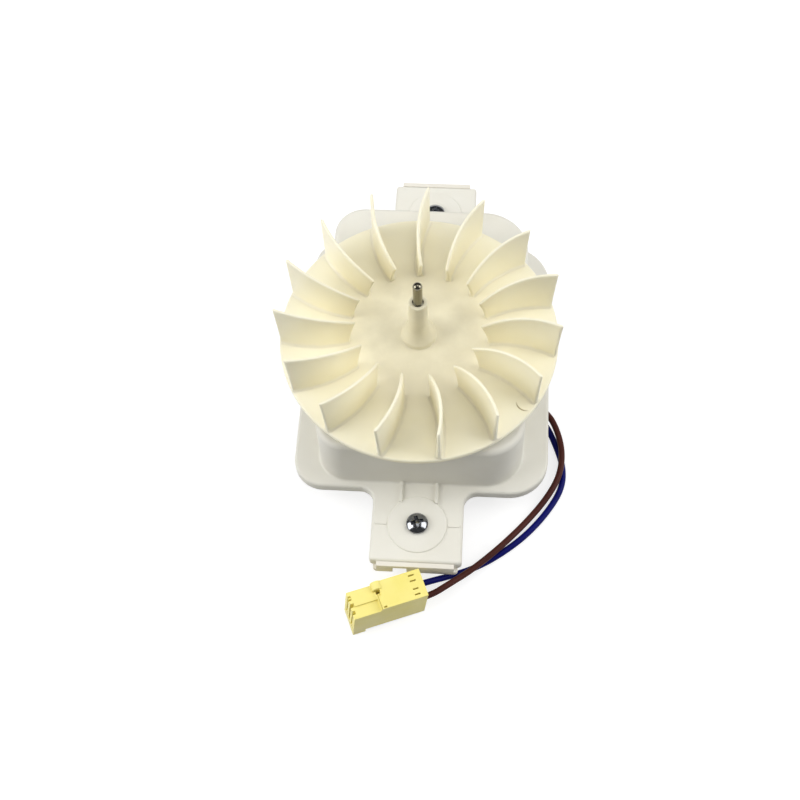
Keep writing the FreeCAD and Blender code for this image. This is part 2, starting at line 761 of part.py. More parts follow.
def rotor():
    bars = []
    for index in range(int(SIZES["bar_count"])):
        turn = "%d * 360 / bar_count" % index
        bars.append(cylinder("cage_bar_%d" % index, "bar_diameter", CORE_BOTTOM, CORE_TOP,
                             "bar_circle * cos(%s)" % turn, "bar_circle * sin(%s)" % turn))
    lower = tube("lower_end_ring", "2 * end_ring_outer", "2 * end_ring_inner",
                 CORE_BOTTOM + " - end_ring_height", CORE_BOTTOM)
    upper = tube("upper_end_ring", "2 * end_ring_outer", "2 * end_ring_inner",
                 CORE_TOP, CORE_TOP + " + end_ring_height")
    node(join("rotor_cage", lower, upper, *bars), "rotor_cage")
    solid = cylinder("core_outside", "stack_bore - 2 * air_gap", CORE_BOTTOM, CORE_TOP)
    bore = cylinder("core_bore", "shaft_diameter", CORE_BOTTOM + " - 1", CORE_TOP + " + 1")
    node(cut("rotor_core", solid, bore, *bars), "rotor_core")


BEARINGS = (
    ("front", 1, "(stack_bottom + stack_height)"),
    ("rear", -1, "stack_bottom"),
)


def stacked(way, low, high):
    """A pair of heights in rising order, whichever way the stack grows."""
    return (low, high) if way > 0 else (high, low)


def bearing_middle(way, face):
    return "(%s + %d * (bracket_rise - bracket_sheet / 2))" % (face, way)


def bearings():
    for name, way, face in BEARINGS:
        middle = bearing_middle(way, face)
        ball = doc.addObject("Part::Sphere", name + "_bearing_ball")
        link(ball, Radius="bearing_diameter / 2")
        place(ball, 0, 0, middle)
        slab = cylinder(name + "_bearing_slab", "bearing_diameter + 1", middle + " - bearing_height / 2",
                        middle + " + bearing_height / 2")
        bore = cylinder(name + "_bearing_bore", "shaft_diameter + 2 * bearing_fit",
                        middle + " - bearing_height", middle + " + bearing_height")
        bearing = cut(name + "_bearing", shared(name + "_bearing_body", ball, slab), bore)
        node(bearing, name + "_bearing")
        bracket(name, way, face)

        sheet_face = "%s + %d * bracket_rise" % (face, way)
        felt_face = "%s + %d * felt_height" % (sheet_face, way)
        low, high = stacked(way, sheet_face, felt_face)
        node(tube(name + "_felt", "felt_diameter", "bearing_diameter", low, high), name + "_felt")
        cap_face = "%s + %d * retainer_sheet" % (felt_face, way)
        low, high = stacked(way, sheet_face, cap_face)
        shell = cylinder(name + "_retainer_shell", "felt_diameter + 2 * retainer_sheet", low, high)
        low, high = stacked(way, sheet_face, felt_face)
        room = cylinder(name + "_retainer_room", "felt_diameter", low, high)
        low, high = stacked(way, felt_face, cap_face)
        eye = cylinder(name + "_retainer_eye", "bearing_diameter - 0.6", low, high)
        node(cut(name + "_retainer", shell, room, eye), name + "_retainer")

        core_face = CORE_TOP if way > 0 else CORE_BOTTOM
        near_face = "%s - %d * (bearing_height / 2 + running_gap)" % (middle, way)
        far_face = "%s - %d * washer_thickness" % (near_face, way)
        low, high = stacked(way, far_face, near_face)
        washer = tube(name + "_thrust_washer", "washer_diameter", "shaft_diameter", low, high)
        node(washer, name + "_thrust_washer")
        low, high = stacked(way, core_face, far_face)
        spacer = tube(name + "_spacer", "spacer_diameter", "shaft_diameter", low, high)
        node(spacer, name + "_spacer")


def bracket(name, way, face):
    body = doc.addObject("PartDesign::Body", name + "_bracket_strip")
    profile = new_sketch(body, name + "_bracket_profile", "XZ_Plane")

    def height(text):
        return "%s + %d * (%s)" % (face, way, text)

    foot, hat, sheet_metal = "bracket_half_length", "bracket_half_hat", "bracket_sheet"
    corners = [
        ("-" + foot, height(0)),
        ("-%s + %s" % (hat, sheet_metal), height(0)),
        ("-%s + %s" % (hat, sheet_metal), height("bracket_rise - " + sheet_metal)),
        ("%s - %s" % (hat, sheet_metal), height("bracket_rise - " + sheet_metal)),
        ("%s - %s" % (hat, sheet_metal), height(0)),
        (foot, height(0)),
        (foot, height(sheet_metal)),
        (hat, height(sheet_metal)),
        (hat, height("bracket_rise")),
        ("-" + hat, height("bracket_rise")),
        ("-" + hat, height(sheet_metal)),
        ("-" + foot, height(sheet_metal)),
    ]
    draw(profile, corners)
    feature(body, "Pad", profile, name + "_bracket_sheet", both_ways=True, Length="2 * bracket_half_width")
    half_hat = number("bracket_half_hat")
    thickness = number("bracket_sheet")
    low, high = sorted((number(height("bracket_rise")), number(height("bracket_sheet"))))

    def outer_bend(edge):
        bounds = edge.BoundBox
        along_y = bounds.XLength < 0.01 and bounds.ZLength < 0.01
        on_riser = abs(abs(bounds.XMin) - half_hat) < 0.01
        return along_y and on_riser and (abs(bounds.ZMin - low) < 0.01 or abs(bounds.ZMin - high) < 0.01)

    fillet(body, name + "_bracket_bends", "bracket_sheet * 0.8", outer_bend)
    ball = doc.addObject("Part::Sphere", name + "_bracket_seat")
    link(ball, Radius="bearing_diameter / 2")
    place(ball, 0, 0, bearing_middle(way, face))
    holes = []
    for side, sign in (("left", -1), ("right", 1)):
        low_hole, high_hole = stacked(way, height("-1"), height("bracket_sheet + 1"))
        holes.append(cylinder("%s_bracket_hole_%s" % (name, side), "frame_screw_diameter",
                              low_hole, high_hole, "%d * frame_screw_x" % sign))
    node(cut(name + "_bracket", body, ball, *holes), name + "_bracket")


def frame_screws():
    for side, sign in (("left", -1), ("right", 1)):
        x = "%d * frame_screw_x" % sign
        top_face = "stack_bottom + stack_height + bracket_sheet"
        low_face = "stack_bottom - bracket_sheet"
        rod = cylinder(side + "_frame_screw_rod", "frame_screw_diameter",
                       low_face + " - frame_nut_height - 0.8", top_face, x)
        head = cylinder(side + "_frame_screw_head", "frame_screw_head", top_face,
                        top_face + " + frame_screw_head_height", x)
        slot = box(side + "_frame_screw_slot", (x + " - frame_screw_head", x + " + frame_screw_head"),
                   ("-0.4", "0.4"), (top_face + " + frame_screw_head_height - 1",
                                     top_face + " + frame_screw_head_height + 1"))
        solid = join(side + "_frame_screw_solid", rod, head)
        node(cut(side + "_frame_screw", solid, slot), side + "_frame_screw")
        prism = doc.addObject("Part::Prism", side + "_frame_nut_prism")
        prism.Polygon = 6
        link(prism, Circumradius="frame_nut_width / 2 / cos(30)", Height="frame_nut_height")
        prism.Placement.Rotation = FreeCAD.Rotation(Vector(0, 0, 1), 30)
        place(prism, x, 0, low_face + " - frame_nut_height")
        bore = cylinder(side + "_frame_nut_bore", "frame_screw_diameter",
                        low_face + " - frame_nut_height - 1", low_face + " + 1", x)
        node(cut(side + "_frame_nut", prism, bore), side + "_frame_nut")


# Stator


def shading_loop(name, turn):
    """A copper strap that goes down a slot beside the bore and round the pole's edge."""
    bottom, top = "stack_bottom", "stack_bottom + stack_height"
    across = ("-shading_width / 2", "shading_width / 2")
    outside = box(name + "_outside", ("shading_inner", "shading_outer"), across,
                  (bottom + " - shading_thickness", top + " + shading_thickness"))
    inside = box(name + "_inside",
                 ("shading_inner + shading_thickness", "shading_outer - shading_thickness"),
                 ("-shading_width", "shading_width"), (bottom, top))
    loop = cut(name, outside, inside)
    link(loop, Placement__Rotation__Angle=turn)
    return node(loop, name)


def stator():
    bottom, top = "stack_bottom", "stack_bottom + stack_height"
    inner = "stack_half_width - leg_width"
    plate = box("stack_plate", ("-stack_half_width", "stack_half_width"), ("-stack_front", "stack_back"),
                (bottom, top))
    window = box("stack_window", ("-(%s)" % inner, inner), ("stack_front", "stack_back + 1"),
                 (bottom + " - 1", top + " + 1"))
    bore = cylinder("stack_bore_cut", "stack_bore", bottom + " - 1", top + " + 1")
    taken = [window, bore]
    for side, sign in (("left", -1), ("right", 1)):
        taken.append(cylinder("stack_hole_" + side, "frame_screw_diameter", bottom + " - 1", top + " + 1",
                              "%d * frame_screw_x" % sign))
    taken.append(shading_loop("rear_shading_ring", "shading_bearing"))
    taken.append(shading_loop("front_shading_ring", "shading_bearing + 180"))
    node(cut("stator_core", plate, *taken), "stator_core")
    along = ("stack_back - yoke_length", "stack_back")
    yoke = box("coil_yoke", ("-(%s)" % inner, inner), along, (bottom, top))
    node(yoke, "coil_yoke")


def coil():
    bottom, top = "stack_bottom", "stack_bottom + stack_height"
    front, back = "stack_back - yoke_length", "stack_back"
    half = "stack_half_width - leg_width - running_gap"
    inner = "%s - bobbin_flange" % half
    yoke = box("bobbin_hole", ("-(%s) - 1" % half, half + " + 1"), (front, back), (bottom, top))
    spool = box("bobbin_tube", ("-(%s)" % half, half), (front + " - bobbin_wall", back + " + bobbin_wall"),
                (bottom + " - bobbin_wall", top + " + bobbin_wall"))
    reach = "bobbin_wall + winding_depth + flange_margin"
    flanges = []
    for side, sign in (("left", -1), ("right", 1)):
        across = (inner, half) if sign > 0 else ("-(%s)" % half, "-(%s)" % inner)
        along = ("%s - (%s)" % (front, reach), "%s + %s" % (back, reach))
        heights = ("%s - (%s)" % (bottom, reach), "%s + %s" % (top, reach))
        flanges.append(box("bobbin_flange_" + side, across, along, heights))
    pins = []
    for name in ("brown", "blue"):
        pins.append(terminal_pin(name, inner, half))
    node(cut("coil_bobbin", join("coil_bobbin_solid", spool, *flanges), yoke, *pins), "coil_bobbin")
    depth = "bobbin_wall + winding_depth"
    along = ("%s - (%s)" % (front, depth), "%s + %s" % (back, depth))
    heights = ("%s - (%s)" % (bottom, depth), "%s + %s" % (top, depth))
    wound = box("winding_outside", ("-(%s)" % inner, inner), along, heights)
    hollow = box("winding_hollow", ("-(%s) - 1" % inner, inner + " + 1"),
                 (front + " - bobbin_wall", back + " + bobbin_wall"),
                 (bottom + " - bobbin_wall", top + " + bobbin_wall"))
    node(cut("coil_winding", wound, hollow), "coil_winding")


def terminal_pin(name, inner, half):
    pin = cylinder_along_x(name + "_terminal_pin", "pin_diameter", inner, half + " + pin_length",
                           "pin_%s_y" % name, "pin_z")
    return node(pin, name + "_terminal_pin")


def rubber_mounts():
    for row, way, face in (("lower", -1, "stack_bottom"), ("upper", 1, "stack_bottom + stack_height")):
        for index, x, y in post_places():
            end = "%s + %d * mount_height" % (face, way)
            seat = "%s + %d * (mount_height - mount_socket)" % (face, way)
            low, high = stacked(way, face, end)
            cup = cylinder("%s_mount_body_%d" % (row, index), "mount_diameter", low, high, x, y)
            low, high = stacked(way, seat, end)
            socket = cylinder("%s_mount_socket_%d" % (row, index), "post_diameter", low, high, x, y)
            label = "%s_rubber_mount_%d" % (row, index)
            node(cut(label, cup, socket), label)


# Wires, grommet and plug


def grommet():
    wall_out = "centre_x + " + tray_half("width")
    wall_in = wall_out + " - tray_wall"
    plate_bottom = "flange_top - skirt_height - plate_thickness"
    along = ("window_y - window_width / 2", "window_y + window_width / 2")
    wide = (along[0] + " - grommet_overhang", along[1] + " + grommet_overhang")
    neck = box("grommet_neck", (wall_in, wall_out), along, ("tray_floor", plate_bottom))
    outer = box("grommet_outer_lip", (wall_out, wall_out + " + grommet_lip"), wide,
                ("tray_floor - grommet_overhang", plate_bottom))
    inner = box("grommet_inner_lip", (wall_in + " - grommet_lip", wall_in), wide,
                ("tray_floor", plate_bottom + " + grommet_overhang"))
    bores = []
    for name in ("brown", "blue"):
        bores.append(cylinder_along_x("grommet_bore_" + name, "wire_diameter", wall_in + " - 5",
                                      wall_out + " + 5", "exit_%s_y" % name, "exit_z"))
    node(cut("cable_grommet", join("cable_grommet_solid", neck, outer, inner), *bores), "cable_grommet")


def wire_path(points):
    """Straight runs joined by the largest tangent arcs that the runs allow."""
    corners = [Vector(*point) for point in points]
    edges, radii = [], []
    start = corners[0]
    for before, corner, after in zip(corners, corners[1:], corners[2:]):
        back, onward = before - corner, after - corner
        turn = math.pi - back.getAngle(onward)
        shorter = min(back.Length, onward.Length)
        radius = 0.45 * shorter / math.tan(turn / 2)
        back.normalize()
        onward.normalize()
        first = corner + back * 0.45 * shorter
        last = corner + onward * 0.45 * shorter
        inward = back + onward
        inward.normalize()
        centre = corner + inward * (radius / math.cos(turn / 2))
        edges.append(Part.LineSegment(start, first).toShape())
        edges.append(Part.Arc(first, centre - inward * radius, last).toShape())
        radii.append(radius)
        start = last
    edges.append(Part.LineSegment(start, corners[-1]).toShape())
    return Part.Wire(edges), radii


def wire(label, points):
    diameter = number("wire_diameter")
    path, radii = wire_path(points)
    direction = Vector(*points[1]) - Vector(*points[0])
    section = Part.Wire(Part.Circle(Vector(*points[0]), direction, diameter / 2).toShape())
    solid = path.makePipeShell([section], True, False)
    expected = math.pi * diameter ** 2 / 4 * path.Length
    print("%s length %.1f volume ratio %.4f radii %s" % (
        label, path.Length, solid.Volume / expected, " ".join("%.1f" % radius for radius in radii)))
    item = doc.addObject("Part::Feature", label)
    item.Shape = solid
    item.Placement = FreeCAD.Placement()
    return node(item, label)


def carried(points, start, end):
    """The route moved with its ends: wholly with the nearer end there, and by shares in between."""
    drawn = [Vector(*point) for point in points]
    first_move, last_move = start - drawn[0], end - drawn[-1]
    route = []
    for index, point in enumerate(drawn):
        share = min(max((index - 1) / (len(drawn) - 3), 0), 1)
        route.append(tuple(point + first_move * (1 - share) + last_move * share))
    return route


def wires():
    exit_x = number("centre_x + %s + grommet_lip" % tray_half("width"))
    pin_x = number("stack_half_width - leg_width - running_gap + pin_length")
    exits, pins, ends = {}, {}, {}
    for name, across in plug_ways():
        exits[name] = Vector(exit_x, number("exit_%s_y" % name), number("exit_z"))
        pins[name] = Vector(pin_x, number("pin_%s_y" % name), number("pin_z"))
        ends[name] = plug_point("plug_wire_depth", across, "plug_way_height")
    wire("wire_brown", carried([
        (35.1, -4.6, 4.2),
        (40.6, -5.5, 3.8),
        (45.2, -9.1, 3.4),
        (47.9, -15.2, 3.3),
        (49.4, -22.5, 3.5),
        (48.6, -31.0, 3.4),
        (44.5, -38.9, 2.3),
        (38.0, -47.4, 1.6),
        (29.5, -57.3, 3.3),
        (20.5, -65.8, 3.7),
        (12.6, -72.0, 5.2),
        (7.54, -76.05, 6.34),
        (1.85, -78.44, 6.97),
    ], exits["brown"], ends["brown"]))
    wire("wire_blue", carried([
        (35.1, -7.2, 4.2),
        (39.6, -8.4, 3.2),
        (43.9, -11.6, 1.7),
        (46.8, -17.6, 1.2),
        (49.8, -26.5, 1.2),
        (49.6, -34.5, 1.2),
        (45.0, -43.2, 1.2),
        (37.8, -52.2, 1.2),
        (29.2, -59.5, 1.2),
        (21.2, -64.5, 1.2),
        (13.4, -68.3, 3.3),
        (5.94, -71.73, 6.32),
        (0.07, -74.2, 6.97),
    ], exits["blue"], ends["blue"]))
    wire("lead_brown", carried([
        (18.7, 24.0, 7.5),
        (23.2, 24.0, 7.5),
        (27.5, 18.5, 5.4),
        (26.2, 8.5, 4.3),
        (25.4, 0.5, 4.1),
        (27.3, -4.6, 4.2),
        (35.1, -4.6, 4.2),
    ], pins["brown"], exits["brown"]))
    wire("lead_blue", carried([
        (18.7, 28.5, 7.5),
        (23.2, 28.5, 7.5),
        (25.5, 22.5, 3.6),
        (23.4, 13.0, 3.3),
        (22.0, 3.5, 3.6),
        (23.4, -4.0, 4.0),
        (27.2, -7.2, 4.2),
        (35.1, -7.2, 4.2),
    ], pins["blue"], exits["blue"]))


def plug_turn():
    yaw = FreeCAD.Rotation(Vector(0, 0, 1), number("plug_yaw"))
    pitch = FreeCAD.Rotation(Vector(0, 1, 0), -number("plug_pitch_angle"))
    return yaw.multiply(pitch)


def plug_point(along, across, height):
    """A point of the plug, given in the plug's own directions."""
    inside = Vector(number(along), number(across), number(height))
    return Vector(number("plug_x"), number("plug_y"), 0) + plug_turn().multVec(inside)


def plug_ways():
    return (("blue", "plug_way_offset"), ("brown", "plug_way_offset + plug_pitch"))


def plug_box(body, name, kind, x, y, z, **options):
    """A box in the plug's own directions; x, y and z are pairs: from, to."""
    plan = new_sketch(body, name + "_plan", "XY_Plane", 0, 0, z[0])
    draw(plan, rectangle(x[0], x[1], y[0], y[1]))
    upwards = {"upwards": True} if kind == "Pocket" else {}
    return feature(body, kind, plan, name, Length="(%s) - (%s)" % (z[1], z[0]), **upwards)


def mouth_outline():
    """A tall slot whose two ends fork, as the rolled edges of the receptacle behind it do."""
    half, splay, fork = "plug_mouth_slot / 2", "plug_mouth_splay", "plug_mouth_fork"
    top, bottom = "(plug_height - plug_way_height + 0.5)", "(1.2 - plug_way_height)"
    arm = "plug_mouth_slot * 0.35"
    upper = [
        ("-(%s) - %s" % (splay, arm), top),
        ("-(%s) + %s" % (splay, arm), top),
        ("0", "%s - %s" % (top, fork)),
        ("%s - %s" % (splay, arm), top),
        ("%s + %s" % (splay, arm), top),
        (half, "%s - %s - 0.8" % (top, fork)),
    ]
    lower = [
        (half, "%s + %s * 0.6 + 0.8" % (bottom, fork)),
        ("%s + %s" % (splay, arm), bottom),
        ("%s - %s" % (splay, arm), bottom),
        ("0", "%s + %s * 0.6" % (bottom, fork)),
        ("-(%s) + %s" % (splay, arm), bottom),
        ("-(%s) - %s" % (splay, arm), bottom),
        ("-(%s)" % half, "%s + %s * 0.6 + 0.8" % (bottom, fork)),
    ]
    return upper + lower + [("-(%s)" % half, "%s - %s - 0.8" % (top, fork))]


def plug():
    """Built along +X from the wire end, then turned and laid beside the near tab."""
    body = new_body("connector_housing")
    near, far = "plug_width - plug_lid_overhang", "plug_lid_overhang"
    deck = "plug_height - plug_step"
    low_deck = "plug_height - plug_step - plug_near_step"
    front = "plug_length + 1"
    plug_box(body, "plug_block", "Pad", (0, "plug_length"), (far, near), (0, "plug_height"))
    plug_box(body, "plug_lid", "Pad", (0, "plug_lid_length"), (0, "plug_width"),
             ("plug_height - plug_lid_thickness", "plug_height"))
    step = new_sketch(body, "plug_step_profile", "XZ_Plane")
    draw(step, [
        ("plug_lid_length", "plug_height + 1"),
        ("plug_lid_length", deck + " + plug_step_round", "plug_step_round"),
        ("plug_lid_length + plug_step_round", deck),
        (front, deck),
        (front, "plug_height + 1"),
    ])
    feature(body, "Pocket", step, "plug_front_step", Length="plug_width", upwards=False)
    seam = near + " - plug_way_width"
    plug_box(body, "plug_low_deck", "Pocket", ("plug_lid_length + 0.4", front), (seam, near + " + 1"),
             (low_deck, "plug_height + 1"))
    bump = new_sketch(body, "plug_bump_profile", "XZ_Plane", "plug_lid_length - 0.3",
                      deck + " + 0.6", "-plug_bump_width")
    draw_circle(bump, "2 * plug_bump_radius")
    feature(body, "Pad", bump, "plug_bump", Length="plug_bump_width")
    gap = ("%s + plug_way_width" % far, seam)
    plug_box(body, "plug_front_gap", "Pocket", (front + " - plug_gap_length", front), gap,
             ("1", low_deck + " - plug_roof"))
    plug_box(body, "plug_roof_notch", "Pocket", ("plug_length - 1.2", front), gap,
             (low_deck + " - plug_roof - 1", "plug_height"))
    plug_box(body, "plug_foot", "Pad", ("plug_length - plug_foot_length", "plug_length"), (far, near),
             ("-tan(plug_pitch_angle) * (plug_length - plug_foot_length)", "0"))
    plug_box(body, "plug_latch_window", "Pocket", ("plug_lid_length - 0.9", "plug_lid_length + 0.4"),
             ("plug_bump_width + 0.1", "plug_bump_width + 1.2"), ("plug_height - 4", "plug_height + 1"))
    plug_box(body, "plug_latch_pit", "Pocket", ("plug_lid_length - 0.8", "plug_lid_length + 0.2"),
             ("plug_bump_width + 1.2", "plug_bump_width + 2.2"), ("plug_height - 0.7", "plug_height + 1"))
    plug_box(body, "plug_corner_notch", "Pocket", ("plug_lid_length - 1.5", "plug_lid_length - 0.4"),
             (near + " - 0.6", near + " - 0.1"), ("plug_height - 1.2", "plug_height + 1"))
    for name, across in plug_ways():
        face = "plug_length - plug_mouth_depth"
        mouth = new_sketch(body, name + "_mouth_plan", "YZ_Plane", across, "plug_way_height", face)
        draw(mouth, mouth_outline())
        feature(body, "Pocket", mouth, name + "_mouth", upwards=True, Length="plug_mouth_depth + 1")
        chamber_end = "plug_entry_depth + plug_chamber_length"
        chamber = new_sketch(body, name + "_chamber_plan", "YZ_Plane", across, 0, "plug_entry_depth - 0.5")
        draw(chamber, rectangle("-plug_chamber_width / 2", "plug_chamber_width / 2",
                                "2", low_deck + " - plug_wall"))
        feature(body, "Pocket", chamber, name + "_chamber", upwards=True, Length="plug_chamber_length + 0.5")
        slot = new_sketch(body, name + "_slot_plan", "YZ_Plane", across, 0, chamber_end + " - 0.5")
        draw(slot, rectangle("-plug_mouth_slot / 2", "plug_mouth_slot / 2", "3.2", low_deck + " - 2"))
        feature(body, "Pocket", slot, name + "_slot", upwards=True, Length="plug_length - (%s)" % chamber_end)
        entry = new_sketch(body, name + "_entry_plan", "YZ_Plane", across, "plug_way_height", 0)
        draw_circle(entry, "plug_entry")
        feature(body, "Pocket", entry, name + "_entry", upwards=True, Length="plug_entry_depth")
        for side, sign in (("far", -1), ("near", 1)):
            middle = "(%s) + %d * plug_window_spacing / 2" % (across, sign)
            plug_box(body, "%s_%s_window" % (name, side), "Pocket",
                     ("plug_window_x - plug_window_length / 2", "plug_window_x + plug_window_length / 2"),
                     (middle + " - plug_window_width / 2", middle + " + plug_window_width / 2"),
                     ("plug_height - 1.6", "plug_height + 1"))
    body.Placement.Rotation = plug_turn()
    place(body, "plug_x", "plug_y", 0)


def contacts():
    """In each way of the plug, a barrel on the wire's end and a tall receptacle open to the mouth."""
    for name, across in plug_ways():
        label = name + "_contact"
        body = new_body(label)
        half = "plug_chamber_width / 2 - 0.15"
        low, high = "2.15", "plug_height - plug_step - plug_near_step - plug_wall - 0.15"
        barrel = new_sketch(body, label + "_barrel_outline", "YZ_Plane", across, "plug_way_height",
                            "plug_wire_depth")
        draw_circle(barrel, "plug_entry - 0.2")
        feature(body, "Pad", barrel, label + "_barrel", Length="plug_entry_depth - plug_wire_depth")
        blade = new_sketch(body, label + "_outline", "YZ_Plane", across, 0, "plug_entry_depth")
        draw(blade, rectangle("-(%s)" % half, half, low, high))
        feature(body, "Pad", blade, label + "_receptacle", Length="plug_chamber_length - 0.3")
        hollow = new_sketch(body, label + "_hollow_outline", "YZ_Plane", across, 0, "plug_entry_depth + 2")
        draw(hollow, rectangle("-0.5", "0.5", low + " + 0.5", high + " - 0.5"))
        feature(body, "Pocket", hollow, label + "_hollow", upwards=True, Length="plug_chamber_length")
        body.Placement.Rotation = plug_turn()
        place(body, "plug_x", "plug_y", 0)


upper_cover()
lower_cover()
cover_screws()
impeller()
shaft()
rotor()
bearings()
frame_screws()
stator()
coil()
rubber_mounts()
grommet()
wires()
plug()
contacts()

doc.removeObject("Probe")
doc.recompute()

# Nothing is written unless every object is sound
for item in doc.Objects:
    if "Invalid" in item.State or "Error" in item.State:
        raise RuntimeError("%s did not build" % item.Label)
for label, item in NODES.items():
    if item.Shape.isNull() or not item.Shape.isValid():
        raise RuntimeError("%s has no sound shape" % label)
for label, item in NODES.items():
    item.Shape.exportStep("parts/%s.step" % label)
    print("%s solids %d volume %.1f" % (label, len(item.Shape.Solids), item.Shape.Volume))
print("nodes", len(NODES))
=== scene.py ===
import json
import math

import bmesh
import bpy
import numpy as np
from mathutils import Matrix, Vector


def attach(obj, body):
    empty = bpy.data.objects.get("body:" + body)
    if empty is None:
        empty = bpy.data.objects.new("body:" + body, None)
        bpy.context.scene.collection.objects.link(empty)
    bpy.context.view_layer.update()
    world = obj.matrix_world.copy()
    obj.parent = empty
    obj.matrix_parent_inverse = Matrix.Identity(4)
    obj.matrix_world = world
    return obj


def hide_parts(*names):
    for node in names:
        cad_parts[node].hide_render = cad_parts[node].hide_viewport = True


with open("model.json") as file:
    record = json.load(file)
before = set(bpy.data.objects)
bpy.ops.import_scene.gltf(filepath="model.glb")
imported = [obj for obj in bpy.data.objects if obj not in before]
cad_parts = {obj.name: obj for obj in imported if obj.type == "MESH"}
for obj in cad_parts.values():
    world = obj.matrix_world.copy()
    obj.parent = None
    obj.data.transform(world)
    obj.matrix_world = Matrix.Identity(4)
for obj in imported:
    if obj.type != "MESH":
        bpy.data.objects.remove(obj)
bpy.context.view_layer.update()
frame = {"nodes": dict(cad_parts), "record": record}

nodes = frame["nodes"]
scene = bpy.context.scene
# in metres: a millimetre, and how near two vertices have to be to become one
mm = 0.001
weld = 1e-6

# Camera, fitted to the disc's rim, the screws and the tabs: angles in degrees, lengths in millimetres

cameraView = {
    "elevation": 62.65,
    "azimuth": 6.535,
    "roll": -3.464,
    "distance": 401.43,
    "slideRight": -7.323,
    "slideUp": -20.672,
    "aimHeight": 40.0,
    "lens": 55.96,
    "sensorWidth": 36.0,
    "nearest": 10.0,
}


def addCamera():
    el, az, roll = (math.radians(cameraView[key]) for key in ("elevation", "azimuth", "roll"))
    back = Vector((math.sin(az) * math.cos(el), -math.cos(az) * math.cos(el), math.sin(el)))
    right = Vector((math.cos(az), math.sin(az), 0))
    up = back.cross(right)
    place = back * cameraView["distance"] + right * cameraView["slideRight"] + up * cameraView["slideUp"]
    place.z += cameraView["aimHeight"]
    rolledRight = right * math.cos(roll) + up * math.sin(roll)
    rolledUp = up * math.cos(roll) - right * math.sin(roll)
    data = bpy.data.cameras.new("photoCamera")
    data.lens = cameraView["lens"]
    data.sensor_width = cameraView["sensorWidth"]
    data.clip_start = cameraView["nearest"] * mm
    camera = bpy.data.objects.new("photoCamera", data)
    scene.collection.objects.link(camera)
    turn = Matrix((rolledRight, rolledUp, back)).transposed().to_4x4()
    camera.matrix_world = Matrix.Translation(place * mm) @ turn
    scene.camera = camera


addCamera()
print("camera set")

# Node groups

surfaceInputs = [
    ("Tint", "NodeSocketColor", (0.8, 0.8, 0.8, 1)), ("Other Tint", "NodeSocketColor", (0.7, 0.7, 0.7, 1)),
    ("Smoothest", "NodeSocketFloat", 0.3), ("Roughest", "NodeSocketFloat", 0.5),
]
surfaceOutputs = [
    ("Colour", "NodeSocketColor"), ("Roughness", "NodeSocketFloat"), ("Height", "NodeSocketFloat"),
]


def newGroup(name, inputs, outputs):
    group = bpy.data.node_groups.new(name, "ShaderNodeTree")
    for label, kind, value in inputs:
        socket = group.interface.new_socket(label, in_out="INPUT", socket_type=kind)
        socket.default_value = value
    for label, kind in outputs:
        group.interface.new_socket(label, in_out="OUTPUT", socket_type=kind)
    return group, group.nodes.new("NodeGroupInput"), group.nodes.new("NodeGroupOutput")


def addNode(tree, kind, **values):
    node = tree.nodes.new(kind)
    for key, value in values.items():
        setattr(node, key, value)
    return node


def setOrLink(tree, socket, given):
    # a socket takes another node's output or a plain value
    if isinstance(given, bpy.types.NodeSocket):
        tree.links.new(given, socket)
    else:
        socket.default_value = given


def workNumbers(tree, operation, *given):
    node = addNode(tree, "ShaderNodeMath", operation=operation)
    for socket, value in zip(node.inputs, given):
        setOrLink(tree, socket, value)
    return node.outputs["Value"]


def workVectors(tree, operation, *given):
    # a length and a dot product come out as a number, the rest as a vector
    node = addNode(tree, "ShaderNodeVectorMath", operation=operation)
    for socket, value in zip(node.inputs, given):
        setOrLink(tree, socket, value)
    return node.outputs["Value" if operation in ("LENGTH", "DOT_PRODUCT") else "Vector"]


def objectPlace(tree):
    return tree.nodes.new("ShaderNodeTexCoord").outputs["Object"]


def giveOut(group, out, **results):
    for label, socket in results.items():
        group.links.new(socket, out.inputs[label])


def noise(tree, vector, scale, detail, roughness=0.55):
    node = tree.nodes.new("ShaderNodeTexNoise")
    node.inputs["Scale"].default_value = scale
    node.inputs["Detail"].default_value = detail
    node.inputs["Roughness"].default_value = roughness
    tree.links.new(vector, node.inputs["Vector"])
    return node.outputs["Fac"]


def mapTo(tree, value, low, high, fromLow=0.3, fromHigh=0.7):
    # what runs from fromLow to fromHigh comes to run from low to high; most of a noise lies in 0.3 to 0.7
    node = tree.nodes.new("ShaderNodeMapRange")
    node.inputs["From Min"].default_value = fromLow
    node.inputs["From Max"].default_value = fromHigh
    tree.links.new(value, node.inputs["Value"])
    setOrLink(tree, node.inputs["To Min"], low)
    setOrLink(tree, node.inputs["To Max"], high)
    return node.outputs["Result"]


def mixColour(tree, factor, first, second):
    node = addNode(tree, "ShaderNodeMix", data_type="RGBA")
    setOrLink(tree, node.inputs[0], factor)
    setOrLink(tree, node.inputs[6], first)
    setOrLink(tree, node.inputs[7], second)
    return node.outputs[2]


# scales and details of the noises, and how much of the drift stays where the flow is lowest
mouldGrain = {
    "fine": 2600.0, "fineDetail": 2.0, "blotch": 90.0, "blotchDetail": 4.0,
    "flow": 22.0, "flowDetail": 2.0, "leastDrift": 0.2,
}


